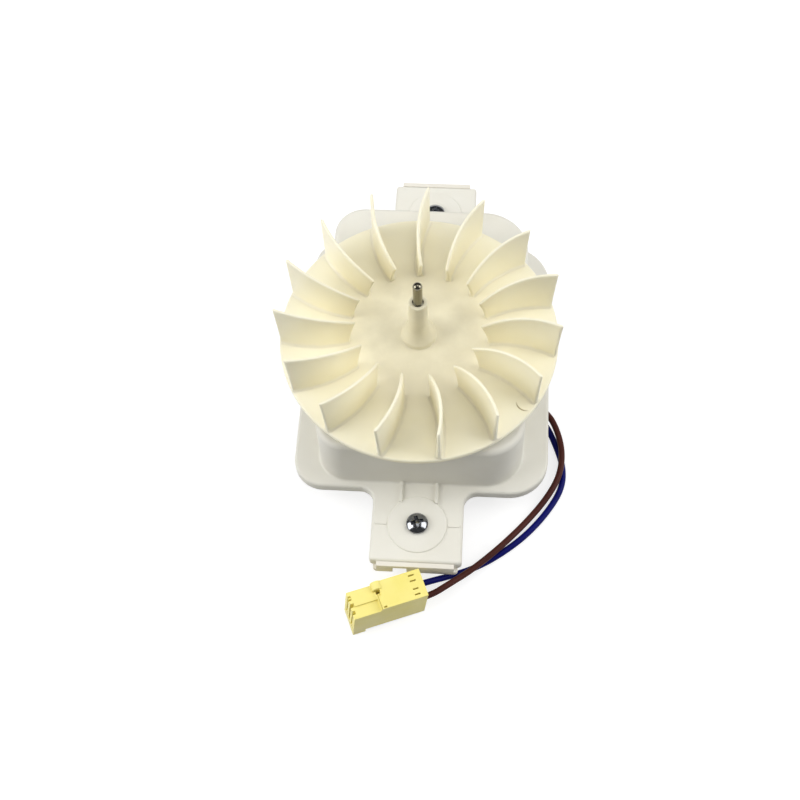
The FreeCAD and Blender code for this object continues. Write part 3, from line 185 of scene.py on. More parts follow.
def buildMouldGroup():
    # colour drifts slowly between two tints, roughness follows its blotches, height a fine sparked grain
    group, given, out = newGroup("mouldedPlastic", surfaceInputs, surfaceOutputs)
    where = objectPlace(group)
    blotch = noise(group, where, mouldGrain["blotch"], mouldGrain["blotchDetail"])
    flow = noise(group, where, mouldGrain["flow"], mouldGrain["flowDetail"])
    flowDrift = mapTo(group, flow, mouldGrain["leastDrift"], 1.0)
    drift = workNumbers(group, "MULTIPLY", mapTo(group, blotch, 0.0, 1.0), flowDrift)
    giveOut(group, out,
            Colour=mixColour(group, drift, given.outputs["Tint"], given.outputs["Other Tint"]),
            Roughness=mapTo(group, blotch, given.outputs["Smoothest"], given.outputs["Roughest"]),
            Height=noise(group, where, mouldGrain["fine"], mouldGrain["fineDetail"]))
    return group


metalGrain = {"fine": 5200.0, "fineDetail": 2.0, "streak": 900.0, "streakDetail": 3.0, "streakSqueeze": 0.12}


def buildMetalGroup():
    # colour and roughness streak along the upright axis, height is a fine grain
    group, given, out = newGroup("workedMetal", surfaceInputs, surfaceOutputs)
    where = objectPlace(group)
    stretch = group.nodes.new("ShaderNodeMapping")
    stretch.inputs["Scale"].default_value = (1.0, 1.0, metalGrain["streakSqueeze"])
    group.links.new(where, stretch.inputs["Vector"])
    streak = noise(group, stretch.outputs["Vector"], metalGrain["streak"], metalGrain["streakDetail"])
    share = mapTo(group, streak, 0.0, 1.0)
    giveOut(group, out,
            Colour=mixColour(group, share, given.outputs["Tint"], given.outputs["Other Tint"]),
            Roughness=mapTo(group, streak, given.outputs["Smoothest"], given.outputs["Roughest"]),
            Height=noise(group, where, metalGrain["fine"], metalGrain["fineDetail"]))
    return group


def buildRadiusGroup():
    # a mask that grows from 0 at the inner radius round the upright axis to 1 at the outer one
    group, given, out = newGroup(
        "radiusMask", [("Inner", "NodeSocketFloat", 0.01), ("Outer", "NodeSocketFloat", 0.04)],
        [("Mask", "NodeSocketFloat")])
    flat = workVectors(group, "MULTIPLY", objectPlace(group), (1, 1, 0))
    ramp = addNode(group, "ShaderNodeMapRange", interpolation_type="SMOOTHSTEP")
    group.links.new(workVectors(group, "LENGTH", flat), ramp.inputs["Value"])
    group.links.new(given.outputs["Inner"], ramp.inputs["From Min"])
    group.links.new(given.outputs["Outer"], ramp.inputs["From Max"])
    giveOut(group, out, Mask=ramp.outputs["Result"])
    return group


# shares of the pitch: where the groove's floor ends and where the full rim starts
grooveShape = {"floorTo": 0.03, "rimFrom": 0.16}


def buildLinesGroup():
    # even lines across one axis: a mask and a height that rise and fall once in each pitch
    group, given, out = newGroup(
        "evenLines", [("Axis", "NodeSocketVector", (0, 0, 1)), ("Pitch", "NodeSocketFloat", 0.0005)],
        [("Mask", "NodeSocketFloat"), ("Height", "NodeSocketFloat")])
    along = workVectors(group, "DOT_PRODUCT", objectPlace(group), given.outputs["Axis"])
    share = workNumbers(group, "DIVIDE", along, given.outputs["Pitch"])
    halfPitch = 0.5
    wave = workNumbers(group, "PINGPONG", share, halfPitch)
    giveOut(group, out,
            Mask=mapTo(group, wave, 0.0, 1.0, grooveShape["floorTo"], grooveShape["rimFrom"]),
            Height=mapTo(group, wave, 0.0, 1.0, 0.0, halfPitch))
    return group


# shares of the dish's radius, and how dark the painted shade on the ring at its rim gets
dishShape = {
    "stepFrom": 0.92, "ringDarkTo": 0.03, "ringGoneFrom": 0.11, "ringShade": 0.9,
    "sideFrom": 0.55, "sideFull": 0.95,
}


def buildDishGroup():
    # a round dish seen from above: a height that steps up at its rim, and a mask for painted shade along part
    # of that rim
    group, given, out = newGroup(
        "roundDish",
        [("Centre", "NodeSocketVector", (0, 0, 0)), ("Radius", "NodeSocketFloat", 0.003),
         ("Facing", "NodeSocketVector", (0, -1, 0))],
        [("Mask", "NodeSocketFloat"), ("Height", "NodeSocketFloat")])
    apart = workVectors(group, "SUBTRACT", objectPlace(group), given.outputs["Centre"])
    share = workNumbers(group, "DIVIDE", workVectors(group, "LENGTH", apart), given.outputs["Radius"])
    gap = workNumbers(group, "ABSOLUTE", workNumbers(group, "SUBTRACT", share, 1.0))
    aim = workVectors(group, "DOT_PRODUCT", apart, given.outputs["Facing"])
    side = workNumbers(group, "DIVIDE", aim, given.outputs["Radius"])
    ring = mapTo(group, gap, dishShape["ringShade"], 0.0, dishShape["ringDarkTo"], dishShape["ringGoneFrom"])
    arc = mapTo(group, side, 0.0, 1.0, dishShape["sideFrom"], dishShape["sideFull"])
    giveOut(group, out,
            Mask=workNumbers(group, "MULTIPLY", ring, arc),
            Height=mapTo(group, share, 0.0, 1.0, dishShape["stepFrom"], 1.0))
    return group


lineCore = 0.5  # the share of the half width that has the full tint


def buildLevelGroup():
    # one soft line where the distance along an axis comes to a given place
    group, given, out = newGroup(
        "levelLine",
        [("Axis", "NodeSocketVector", (0, 0, 1)), ("Place", "NodeSocketFloat", 0.01),
         ("Half", "NodeSocketFloat", 0.0002)],
        [("Mask", "NodeSocketFloat")])
    along = workVectors(group, "DOT_PRODUCT", objectPlace(group), given.outputs["Axis"])
    off = workNumbers(group, "SUBTRACT", along, given.outputs["Place"])
    gap = workNumbers(group, "ABSOLUTE", workNumbers(group, "DIVIDE", off, given.outputs["Half"]))
    giveOut(group, out, Mask=mapTo(group, gap, 1.0, 0.0, lineCore, 1.0))
    return group


mouldGroup = buildMouldGroup()
metalGroup = buildMetalGroup()
radiusGroup = buildRadiusGroup()
linesGroup = buildLinesGroup()
dishGroup = buildDishGroup()
levelGroup = buildLevelGroup()

# Finishes: two tints, the two ends of the roughness, the relief in metres and what else the shader takes

bumpStrength = {"grain": 0.5, "dent": 0.8}


def rgb(r, g, b):
    # a colour as the eye reads it on a screen, 0 to 255, made linear
    scaled = np.array([r, g, b]) / 255
    linear = np.where(scaled <= 0.04045, scaled / 12.92, ((scaled + 0.055) / 1.055) ** 2.4)
    return (*linear.tolist(), 1)


def addEffect(tree, group, **values):
    effect = addNode(tree, "ShaderNodeGroup", node_tree=group)
    for key, value in values.items():
        effect.inputs[key.replace("_", " ")].default_value = value
    return effect


def newMaterial(name, group, tint, other, smooth, rough, bump, **shader):
    material = bpy.data.materials.new(name)
    material.use_nodes = True
    tree = material.node_tree
    surface = tree.nodes["Principled BSDF"]
    effect = addEffect(tree, group, Tint=tint, Other_Tint=other, Smoothest=smooth, Roughest=rough)
    effect.name = "Finish"
    dent = tree.nodes.new("ShaderNodeBump")
    dent.inputs["Strength"].default_value = bumpStrength["grain"]
    dent.inputs["Distance"].default_value = bump
    tree.links.new(effect.outputs["Height"], dent.inputs["Height"])
    tree.links.new(dent.outputs["Normal"], surface.inputs["Normal"])
    tree.links.new(effect.outputs["Colour"], surface.inputs["Base Color"])
    tree.links.new(effect.outputs["Roughness"], surface.inputs["Roughness"])
    for key, value in shader.items():
        surface.inputs[key.replace("_", " ")].default_value = value
    return material


finishes = {
    "ivory": newMaterial("ivoryPlastic", mouldGroup, rgb(252, 246, 222), rgb(249, 242, 213), 0.34, 0.48,
                         0.00002, Subsurface_Weight=0.2, Subsurface_Scale=0.002,
                         Subsurface_Radius=(1, 0.95, 0.8)),
    "housing": newMaterial("housingPlastic", mouldGroup, rgb(232, 230, 220), rgb(228, 225, 213), 0.42, 0.56,
                           0.00003, Specular_IOR_Level=0.3),
    "lower": newMaterial("lowerPlastic", mouldGroup, rgb(232, 228, 217), rgb(226, 221, 208), 0.42, 0.58,
                         0.00003, Specular_IOR_Level=0.3),
    "plug": newMaterial("plugPlastic", mouldGroup, rgb(250, 237, 146), rgb(243, 229, 126), 0.34, 0.5,
                        0.00002, Specular_IOR_Level=0.25),
    "brown": newMaterial("brownInsulation", mouldGroup, rgb(80, 40, 34), rgb(66, 32, 27), 0.34, 0.46,
                         0.00001, Specular_IOR_Level=0.12),
    "blue": newMaterial("blueInsulation", mouldGroup, rgb(5, 11, 104), rgb(4, 8, 86), 0.34, 0.46,
                        0.00001, Specular_IOR_Level=0.12),
    "rubber": newMaterial("blackRubber", mouldGroup, rgb(42, 42, 43), rgb(32, 32, 33), 0.6, 0.8, 0.00003),
    "bobbin": newMaterial("bobbinPlastic", mouldGroup, rgb(236, 233, 224), rgb(226, 222, 210), 0.4, 0.55,
                          0.00002),
    "washer": newMaterial("washerPlastic", mouldGroup, rgb(235, 234, 228), rgb(222, 220, 214), 0.35, 0.5,
                          0.00001),
    "felt": newMaterial("oiledFelt", mouldGroup, rgb(206, 198, 176), rgb(176, 166, 140), 0.8, 0.95, 0.0002),
    "screw": newMaterial("brightScrew", metalGroup, rgb(168, 170, 174), rgb(134, 136, 141), 0.1, 0.2,
                         0.000005, Metallic=1.0),
    "shaft": newMaterial("groundShaft", metalGroup, rgb(150, 146, 128), rgb(128, 124, 108), 0.1, 0.22,
                         0.000005, Metallic=1.0),
    "sheet": newMaterial("platedSheet", metalGroup, rgb(200, 200, 194), rgb(178, 178, 172), 0.25, 0.42,
                         0.00001, Metallic=1.0),
    "stack": newMaterial("stampedSteel", metalGroup, rgb(120, 122, 128), rgb(92, 94, 100), 0.35, 0.55,
                         0.00001, Metallic=1.0),
    "cast": newMaterial("castAluminium", metalGroup, rgb(206, 207, 210), rgb(186, 187, 190), 0.35, 0.55,
                        0.00002, Metallic=1.0),
    "bronze": newMaterial("sinteredBronze", metalGroup, rgb(176, 140, 88), rgb(140, 108, 66), 0.4, 0.6,
                          0.00002, Metallic=1.0),
    "copper": newMaterial("copperWire", metalGroup, rgb(198, 116, 76), rgb(164, 84, 50), 0.25, 0.42,
                          0.00002, Metallic=1.0),
    "tin": newMaterial("tinnedBrass", metalGroup, rgb(208, 200, 172), rgb(182, 172, 140), 0.22, 0.4,
                       0.00001, Metallic=1.0),
}

# What some finishes have besides, in metres

# painted shade: the disc is darker in its middle, over the casing, than near its rim
paintedMiddleShade = {"inner": 0.014, "outer": 0.030, "tint": rgb(221, 213, 183)}
# the ejector dish is a real dent; the dark tint along one side of its rim is painted shade
ejectorDish = {
    "centre": (0.03475, -0.02295, 0.04), "radius": 0.0029, "facing": (-0.6, -0.8, 0),
    "tint": rgb(150, 132, 84), "depth": 0.0001,
}
# painted shadow: a dark line along the plug's sides under the overhanging rim of its lid
lidShadowLine = {"axis": (0.09476, 0.03983, 0.9947), "place": 0.01126, "half": 0.00024, "tint": rgb(196, 180, 92)}
stackLines = {"axis": (0, 0, 1), "pitch": 0.0005, "tint": rgb(60, 60, 64), "depth": 0.00006}
coilTurns = {"axis": (1, 0, 0), "pitch": 0.00042, "tint": rgb(110, 52, 30), "depth": 0.00012}


def mixBase(material, mask, first, second):
    # the first colour shows where the mask is 0, the second where it is 1
    tree = material.node_tree
    tree.links.new(mixColour(tree, mask, first, second), tree.nodes["Principled BSDF"].inputs["Base Color"])


def addDent(material, height, depth):
    # one more relief over the material's own
    tree = material.node_tree
    surface = tree.nodes["Principled BSDF"]
    dent = tree.nodes.new("ShaderNodeBump")
    dent.inputs["Strength"].default_value = bumpStrength["dent"]
    dent.inputs["Distance"].default_value = depth
    tree.links.new(height, dent.inputs["Height"])
    tree.links.new(surface.inputs["Normal"].links[0].from_socket, dent.inputs["Normal"])
    tree.links.new(dent.outputs["Normal"], surface.inputs["Normal"])


def shadeByRadius(material, inner, outer, tint):
    # painted shade: the darker tint near the axis gives way to the material's own further out
    tree = material.node_tree
    finish = tree.nodes["Finish"]
    ownTint = tuple(finish.inputs["Tint"].default_value)
    mask = addEffect(tree, radiusGroup, Inner=inner, Outer=outer).outputs["Mask"]
    tree.links.new(mixColour(tree, mask, tint, ownTint), finish.inputs["Tint"])


def pressDish(material, centre, radius, facing, tint, depth):
    # a shallow ejector dish as a real dent, with painted shade darkening its rim on the side it faces
    tree = material.node_tree
    dish = addEffect(tree, dishGroup, Centre=centre, Radius=radius, Facing=facing)
    mixBase(material, dish.outputs["Mask"], tree.nodes["Finish"].outputs["Colour"], tint)
    addDent(material, dish.outputs["Height"], depth)


def paintShadowLine(material, axis, place, half, tint):
    # painted shadow gathered in one line, as under a rim
    tree = material.node_tree
    line = addEffect(tree, levelGroup, Axis=axis, Place=place, Half=half)
    mixBase(material, line.outputs["Mask"], tree.nodes["Finish"].outputs["Colour"], tint)


def cutLines(material, axis, pitch, tint, depth):
    # lines across the axis: the groove's tint and a dent at every pitch
    tree = material.node_tree
    lines = addEffect(tree, linesGroup, Axis=axis, Pitch=pitch)
    mixBase(material, lines.outputs["Mask"], tint, tree.nodes["Finish"].outputs["Colour"])
    addDent(material, lines.outputs["Height"], depth)


shadeByRadius(finishes["ivory"], **paintedMiddleShade)
pressDish(finishes["ivory"], **ejectorDish)
paintShadowLine(finishes["plug"], **lidShadowLine)
cutLines(finishes["stack"], **stackLines)
cutLines(finishes["copper"], **coilTurns)
print("materials made")

# The record's slots, each with its finish

slotFinish = {
    "ivory_plastic": "ivory", "white_plastic": "housing", "lower_plastic": "lower", "bright_screws": "screw",
    "shaft_steel": "shaft", "rotor_aluminium": "cast", "core_steel": "stack", "bearing_bronze": "bronze",
    "bracket_steel": "sheet", "felt": "felt", "washer_plastic": "washer", "copper": "copper",
    "bobbin_plastic": "bobbin", "tinned_brass": "tin", "mount_rubber": "rubber", "grommet_rubber": "rubber",
    "brown_insulation": "brown", "blue_insulation": "blue", "plug_plastic": "plug",
}


def dressNodes():
    for entry in frame["record"]["subparts"]:
        part = nodes[entry["node"]]
        part.data.materials.clear()
        part.data.materials.append(finishes[slotFinish[entry["material_slot"]]])


dressNodes()

# Copies of the solids' meshes with eased edges: angles in degrees, widths in millimetres

easing = {"flatWithin": 0.5, "sharpFrom": 30.0, "segments": 3}
turningNodes = ("rotor_core", "rotor_cage")


def softenNode(name, width):
    data = nodes[name].data.copy()
    data.name = name + "_eased"
    work = bmesh.new()
    work.from_mesh(data)
    bmesh.ops.remove_doubles(work, verts=work.verts, dist=weld)
    flatWithin = math.radians(easing["flatWithin"])
    bmesh.ops.dissolve_limit(work, angle_limit=flatWithin, verts=work.verts, edges=work.edges)
    work.to_mesh(data)
    work.free()
    data.shade_smooth()
    piece = bpy.data.objects.new(name + "_eased", data)
    scene.collection.objects.link(piece)
    ease = piece.modifiers.new("ease", "BEVEL")
    ease.width = width * mm
    ease.segments = easing["segments"]
    ease.limit_method = "ANGLE"
    ease.angle_limit = math.radians(easing["sharpFrom"])
    ease.harden_normals = True
    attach(piece, "rotor" if name in turningNodes else "housing")
    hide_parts(name)
    return piece


# Wires, along the same route points as the solids, in millimetres; their lengths are in metres

wireStyle = {"diameter": 2.1, "plugEdge": 0.12, "roundSteps": 5, "curveSteps": 12, "curveOrder": 3}
brownWire = {
    "length": 0.1014,
    "route": [
        (35.1, -4.6, 4.2), (40.6, -5.5, 3.8), (45.2, -9.1, 3.4), (47.9, -15.2, 3.3), (49.4, -22.5, 3.5),
        (48.6, -31.0, 3.4), (44.5, -38.9, 2.3), (38.0, -47.4, 1.6), (29.5, -57.3, 3.3), (20.5, -65.8, 3.7),
        (12.6, -72.0, 5.2), (7.54, -76.05, 6.34), (1.85, -78.44, 6.97),
    ],
}
blueWire = {
    "length": 0.0997,
    "route": [
        (35.1, -7.2, 4.2), (39.6, -8.4, 3.2), (43.9, -11.6, 1.7), (46.8, -17.6, 1.2), (49.8, -26.5, 1.2),
        (49.6, -34.5, 1.2), (45.0, -43.2, 1.2), (37.8, -52.2, 1.2), (29.2, -59.5, 1.2), (21.2, -64.5, 1.2),
        (13.4, -68.3, 3.3), (5.94, -71.73, 6.32), (0.07, -74.2, 6.97),
    ],
}


def layWire(name, finish, points):
    data = bpy.data.curves.new(name + "_cord", "CURVE")
    data.dimensions = "3D"
    data.bevel_depth = wireStyle["diameter"] * mm / 2
    data.bevel_resolution = wireStyle["roundSteps"]
    data.resolution_u = wireStyle["curveSteps"]
    data.use_fill_caps = True
    line = data.splines.new("NURBS")
    line.points.add(len(points) - 1)
    for spot, point in zip(line.points, points):
        spot.co = (*(Vector(point) * mm), 1)
    line.order_u = wireStyle["curveOrder"]
    line.use_endpoint_u = True
    wire = bpy.data.objects.new(name + "_cord", data)
    scene.collection.objects.link(wire)
    data.materials.append(finish)
    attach(wire, "housing")
    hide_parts(name)


plugSkin = softenNode("connector_housing", wireStyle["plugEdge"])
layWire("wire_brown", finishes["brown"], brownWire["route"])
layWire("wire_blue", finishes["blue"], blueWire["route"])
print("wires laid")

# Surfaces worked out as grids


def gridFaces(rows, columns, wrapRows, wrapColumns, start):
    # each cell of a rows by columns grid as four vertex numbers
    i = np.arange(rows if wrapRows else rows - 1)[:, None]
    j = np.arange(columns if wrapColumns else columns - 1)[None, :]
    below, beside = (i + 1) % rows, (j + 1) % columns
    corners = (i * columns + j, i * columns + beside, below * columns + beside, below * columns + j)
    return np.stack(corners, -1).reshape(-1, 4) + start


def makePiece(name, shells, finish, body, replaced, sharp):
    # shells is a list of (grid of points in mm, wrapRows, wrapColumns), sharp an angle in degrees
    points, faces, start = [], [], 0
    for grid, wrapRows, wrapColumns in shells:
        rows, columns = grid.shape[:2]
        points.append(grid.reshape(-1, 3) * mm)
        faces.append(gridFaces(rows, columns, wrapRows, wrapColumns, start))
        start += rows * columns
    mesh = bpy.data.meshes.new(name)
    mesh.from_pydata(np.concatenate(points), [], np.concatenate(faces).tolist())
    work = bmesh.new()
    work.from_mesh(mesh)
    bmesh.ops.remove_doubles(work, verts=work.verts, dist=weld)
    bmesh.ops.recalc_face_normals(work, faces=work.faces)
    work.to_mesh(mesh)
    work.free()
    mesh.shade_smooth()
    mesh.set_sharp_from_angle(angle=math.radians(sharp))
    mesh.materials.append(finish)
    piece = bpy.data.objects.new(name, mesh)
    scene.collection.objects.link(piece)
    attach(piece, body)
    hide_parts(*replaced)


def roundedProfile(corners, steps):
    # a closed or open line of (r, z, radius): each corner becomes an arc that touches both its sides
    line = []
    count = len(corners)
    for index, (r, z, radius) in enumerate(corners):
        here = np.array([r, z])
        if radius == 0:
            line.append(here[None])
            continue
        back = np.array(corners[index - 1][:2]) - here
        on = np.array(corners[(index + 1) % count][:2]) - here
        back, on = back / np.linalg.norm(back), on / np.linalg.norm(on)
        half = math.acos(np.clip(back @ on, -1, 1)) / 2
        reach = radius / math.tan(half)
        middle = (back + on) / np.linalg.norm(back + on) * radius / math.sin(half) + here
        first, last = here + back * reach - middle, here + on * reach - middle
        sweep = math.atan2(first[0] * last[1] - first[1] * last[0], first @ last)
        turn = np.linspace(0, sweep, steps)[:, None]
        side = np.array([-first[1], first[0]])[None]
        line.append(middle[None] + first[None] * np.cos(turn) + side * np.sin(turn))
    return np.concatenate(line)


def ringGrid(x, y, r, angle, z):
    # rings of radius r at height z round an upright axis through x and y
    return np.stack([x + r * np.cos(angle), y + r * np.sin(angle), z + 0 * angle], -1)


def turnedGrid(profile, around):
    # the profile's points (r, z) carried round the middle axis
    angle = np.linspace(0, 2 * np.pi, around, endpoint=False)[None, :]
    return ringGrid(0, 0, profile[:, 0:1], angle, profile[:, 1:2])


# Impeller: sizes in millimetres and degrees, how fine its surfaces are, and the angle that stays sharp

impellerShape = {
    "discRadius": 45.0, "discTop": 40.0, "discBottom": 38.2, "rimRound": 0.55,
    "hubTop": 59.9, "hubTopRadius": 2.9, "hubTopRound": 0.3, "tubeRadius": 3.15, "tubeFoot": 49.0,
    "flareCurve": 12.0, "footRadius": 5.6, "footRound": 0.4, "boreRadius": 1.8, "boreRound": 0.15,
    "bossRadius": 4.0, "bossBottom": 37.0, "bossRound": 0.3,
    "bladeCount": 15, "halfTop": 0.5, "halfFoot": 0.72, "footFillet": 0.8, "endRound": 0.55, "sunk": 0.15,
    "topInner": 19.9, "topOuter": 45.3, "footInner": 22.3, "footOuter": 44.6, "endHollow": 1.5,
    "riseInner": 9.9, "riseOuter": 18.3, "topCurve": 60.0, "flatFrom": 44.8,
    "arcRadius": 38.9, "arcOffset": 48.4, "arcBearing": 39.6,
    "around": 240, "arcSteps": 6, "flareSteps": 18,
    "floorSteps": 14, "floorFromRim": 1.0, "floorFromFoot": 1.2,
    "lengthSteps": 72, "lengthCrowding": 0.03, "sideSteps": 15, "sideCrowding": 1.6, "capSteps": 9,
    "sharp": 50.0,
}


def bladeTop(r):
    # the top edge rises along a circle from the inner end to the flat at the tip
    s = impellerShape
    a = np.array([s["topInner"], s["riseInner"]])
    b = np.array([s["flatFrom"], s["riseOuter"]])
    chord = np.linalg.norm(b - a)
    across = np.array([b[1] - a[1], a[0] - b[0]]) / chord
    centre = (a + b) / 2 + across * math.sqrt(s["topCurve"] ** 2 - chord ** 2 / 4)
    rise = centre[1] + np.sqrt(s["topCurve"] ** 2 - (r - centre[0]) ** 2)
    return np.where(r < s["flatFrom"], rise, s["riseOuter"])


def bladeGrids():
    # A blade's section is a slab with a round top and hollow fillets at its foot. It is carried along a
    # circle in plan, and each point slides along it with its height so that both end edges lean.
    s = impellerShape
    along = np.linspace(0, 1, s["lengthSteps"])[:, None]
    # a sine crowds the sections towards both ends
    along = along + s["lengthCrowding"] * np.sin(2 * np.pi * (along - 0.5))
    topR = s["topInner"] + along * (s["topOuter"] - s["topInner"])
    footR = s["footInner"] + along * (s["footOuter"] - s["footInner"])
    height = bladeTop(topR)
    sideT = np.linspace(0, 1, s["sideSteps"]) ** s["sideCrowding"]
    capT = np.linspace(0, np.pi, s["capSteps"])[1:-1]
    # near an end the section narrows as a circle does, which rounds the end
    endGap = np.minimum(along, 1 - along) * (s["topOuter"] - s["topInner"])
    pinch = np.sqrt(np.clip(1 - (1 - np.clip(endGap / s["endRound"], 0, 1)) ** 2, 0, 1))
    rise = (height - s["halfTop"]) * sideT[None, :]
    fillet = s["footFillet"]
    flare = fillet - np.sqrt(np.clip(fillet ** 2 - np.clip(fillet - rise, 0, None) ** 2, 0, None))
    half = s["halfFoot"] + (s["halfTop"] - s["halfFoot"]) * rise / height + flare
    half = half * pinch
    capD = s["halfTop"] * np.cos(capT)[None, :] * pinch
    capZ = height - s["halfTop"] + s["halfTop"] * np.sin(capT)[None, :]
    sunk = -s["sunk"] + 0 * along
    offset = np.concatenate([half[:, :1], half, capD, -half[:, ::-1], -half[:, :1]], 1)
    z = np.concatenate([sunk, rise, capZ, rise[:, ::-1], sunk], 1)
    lean = np.clip(z / height, 0, 1)
    r = footR + (topR - footR) * lean ** s["endHollow"]
    # the cosine rule says how far round the circle in plan a point at radius r lies
    bend = np.arccos(np.clip((r ** 2 - s["arcOffset"] ** 2 - s["arcRadius"] ** 2)
                             / (2 * s["arcOffset"] * s["arcRadius"]), -1, 1))
    turns = np.arange(s["bladeCount"])[:, None, None] * 2 * np.pi / s["bladeCount"]
    bearing = math.radians(s["arcBearing"]) + turns
    x = s["arcOffset"] * np.cos(bearing) + (s["arcRadius"] + offset) * np.cos(bearing + bend)
    y = s["arcOffset"] * np.sin(bearing) + (s["arcRadius"] + offset) * np.sin(bearing + bend)
    z = np.broadcast_to(s["discTop"] + z, x.shape)
    return list(np.stack([x, y, z], -1))


def hubProfile():
    # From the bore's foot out under the disc, round the rim, in to the hub, up its bell flare, an arc that
    # ends upright, and over the top. A guide point past each line's end only gives its last arc a side.
    s = impellerShape
    guide = 1.0
    flareR = np.linspace(s["footRadius"], s["tubeRadius"], s["flareSteps"])
    flareGap = s["tubeRadius"] + s["flareCurve"] - flareR
    flareZ = s["tubeFoot"] - np.sqrt(np.clip(s["flareCurve"] ** 2 - flareGap ** 2, 0, None))
    outer = roundedProfile([
        (s["boreRadius"], s["bossBottom"], 0), (s["bossRadius"], s["bossBottom"], s["bossRound"]),
        (s["bossRadius"], s["discBottom"], s["bossRound"]), (s["discRadius"], s["discBottom"], s["rimRound"]),
        (s["discRadius"], s["discTop"], s["rimRound"]), (s["footRadius"], s["discTop"], s["footRound"]),
        (s["footRadius"], s["discTop"] + guide, 0)], s["arcSteps"])[:-1]
    crown = roundedProfile([
        (s["tubeRadius"], s["tubeFoot"], 0), (s["hubTopRadius"], s["hubTop"], s["hubTopRound"]),
        (s["boreRadius"], s["hubTop"], s["boreRound"]),
        (s["boreRadius"], s["bossBottom"] + guide, 0)], s["arcSteps"])[1:-1]
    floorR = np.linspace(s["discRadius"] - s["floorFromRim"], s["footRadius"] + s["floorFromFoot"],
                         s["floorSteps"])
    floor = np.stack([floorR, 0 * floorR + s["discTop"]], -1)
    cut = len(outer) - s["arcSteps"]
    return np.concatenate([outer[:cut], floor, outer[cut:], np.stack([flareR, flareZ], -1), crown])


def buildImpeller():
    shells = [(turnedGrid(hubProfile(), impellerShape["around"]), True, True)]
    shells += [(grid, False, True) for grid in bladeGrids()]
    makePiece("impellerSkin", shells, finishes["ivory"], "rotor", ["impeller"],
              impellerShape["sharp"])


buildImpeller()
print("impeller built")

# Shaft, in millimetres, with how fine its surface is and the angle that stays sharp

shaftShape = {
    "rodRadius": 1.6, "gripRadius": 1.8, "endRadius": 1.5, "bottom": 2.6, "gripBottom": 37.0,
    "gripTop": 60.1, "top": 69.9, "tipRound": 1.38, "edge": 0.25,
    "gripFootRound": 0.1, "gripTopRound": 0.12, "neckRound": 0.1,
    "around": 96, "arcSteps": 14, "sharp": 40.0,
}


def buildShaft():
    s = shaftShape
    profile = roundedProfile([
        (0, s["bottom"], 0), (s["rodRadius"], s["bottom"], s["edge"]), (s["rodRadius"], s["gripBottom"], 0),
        (s["gripRadius"], s["gripBottom"], s["gripFootRound"]),
        (s["gripRadius"], s["gripTop"], s["gripTopRound"]), (s["endRadius"], s["gripTop"], s["neckRound"]),
        (s["endRadius"], s["top"], s["tipRound"]), (0, s["top"], 0)], s["arcSteps"])
    shells = [(turnedGrid(profile, s["around"]), False, True)]
    makePiece("shaftSkin", shells, finishes["shaft"], "rotor", ["shaft"], s["sharp"])


buildShaft()

# Cover screws, each with a domed head, a cross recess and a thread: sizes in millimetres, turns in degrees

screwShape = {
    "x": 2.0, "middleY": 6.5, "spacing": 122.0, "seat": 12.45, "headRadius": 3.5, "headHeight": 2.5,
    "brim": 1.0, "brimRound": 0.25, "armLength": 2.1, "armHalf": 0.52, "armSlope": 0.9,
    "recessDepth": 1.7, "edge": 0.09, "major": 1.75, "core": 1.3, "pitch": 1.35, "ridgeSlope": 3.2,
    "threadFrom": 0.8, "threadRun": 1.0, "pointLength": 2.2, "pointShare": 0.35, "end": 2.0,
    "turn": {"near": 18.0, "far": 40.0},
    "around": 240, "headRings": 90, "headCrowding": 0.8, "brimRings": 6, "shankRings": 180, "sharp": 30.0,
}


def screwGrids(x, y, turn):
    s = screwShape
    angle = np.linspace(0, 2 * np.pi, s["around"], endpoint=False)[None, :]
    turned = angle + math.radians(turn)
    # head: height falls from the crown as a circle's arc, less a cross whose floor slopes up to its ends
    r = np.linspace(0, 1, s["headRings"])[:, None] ** s["headCrowding"] * s["headRadius"]
    domeRise = s["headHeight"] - s["brim"]
    domeRadius = (s["headRadius"] ** 2 + domeRise ** 2) / (2 * domeRise)
    top = s["headHeight"] - domeRadius + np.sqrt(domeRadius ** 2 - r ** 2)
    u, v = r * np.cos(angle), r * np.sin(angle)

    def arm(a, b):
        side = np.clip((s["armHalf"] + s["edge"] - np.abs(b)) / (2 * s["edge"]), 0, 1)
        end = np.clip((s["armLength"] - np.abs(a)) / s["armSlope"], 0, 1)
        return side * side * (3 - 2 * side) * np.sqrt(end)

    top = top - s["recessDepth"] * np.maximum(arm(u, v), arm(v, u))
    head = ringGrid(x, y, r, turned, s["seat"] + top)
    brimTurn = np.linspace(0, np.pi / 2, s["brimRings"])[:, None]
    brimR = s["headRadius"] - s["brimRound"] + s["brimRound"] * np.cos(brimTurn)
    brimZ = s["brimRound"] - s["brimRound"] * np.sin(brimTurn)
    brim = ringGrid(x, y, brimR, turned, s["seat"] + brimZ)
    # shank: the radius follows a ridge that climbs one pitch for each turn, and narrows towards the point
    depth = np.linspace(0, s["seat"] - s["end"], s["shankRings"])[:, None]
    phase = (depth / s["pitch"] + angle / (2 * np.pi)) % 1
    ridge = np.clip(1 - np.abs(phase - 0.5) * s["ridgeSlope"], 0, 1)
    started = np.clip((depth - s["threadFrom"]) / s["threadRun"], 0, 1)
    point = np.clip((s["seat"] - s["end"] - depth) / s["pointLength"], 0, 1)
    narrowed = s["pointShare"] + (1 - s["pointShare"]) * point
    shankR = (s["core"] + (s["major"] - s["core"]) * ridge * started) * narrowed
    shank = ringGrid(x, y, shankR, turned, s["seat"] - depth)
    tip = np.broadcast_to(np.array([x, y, s["end"]]), (1, s["around"], 3))
    return [(np.concatenate([head, brim, shank, tip]), False, True)]


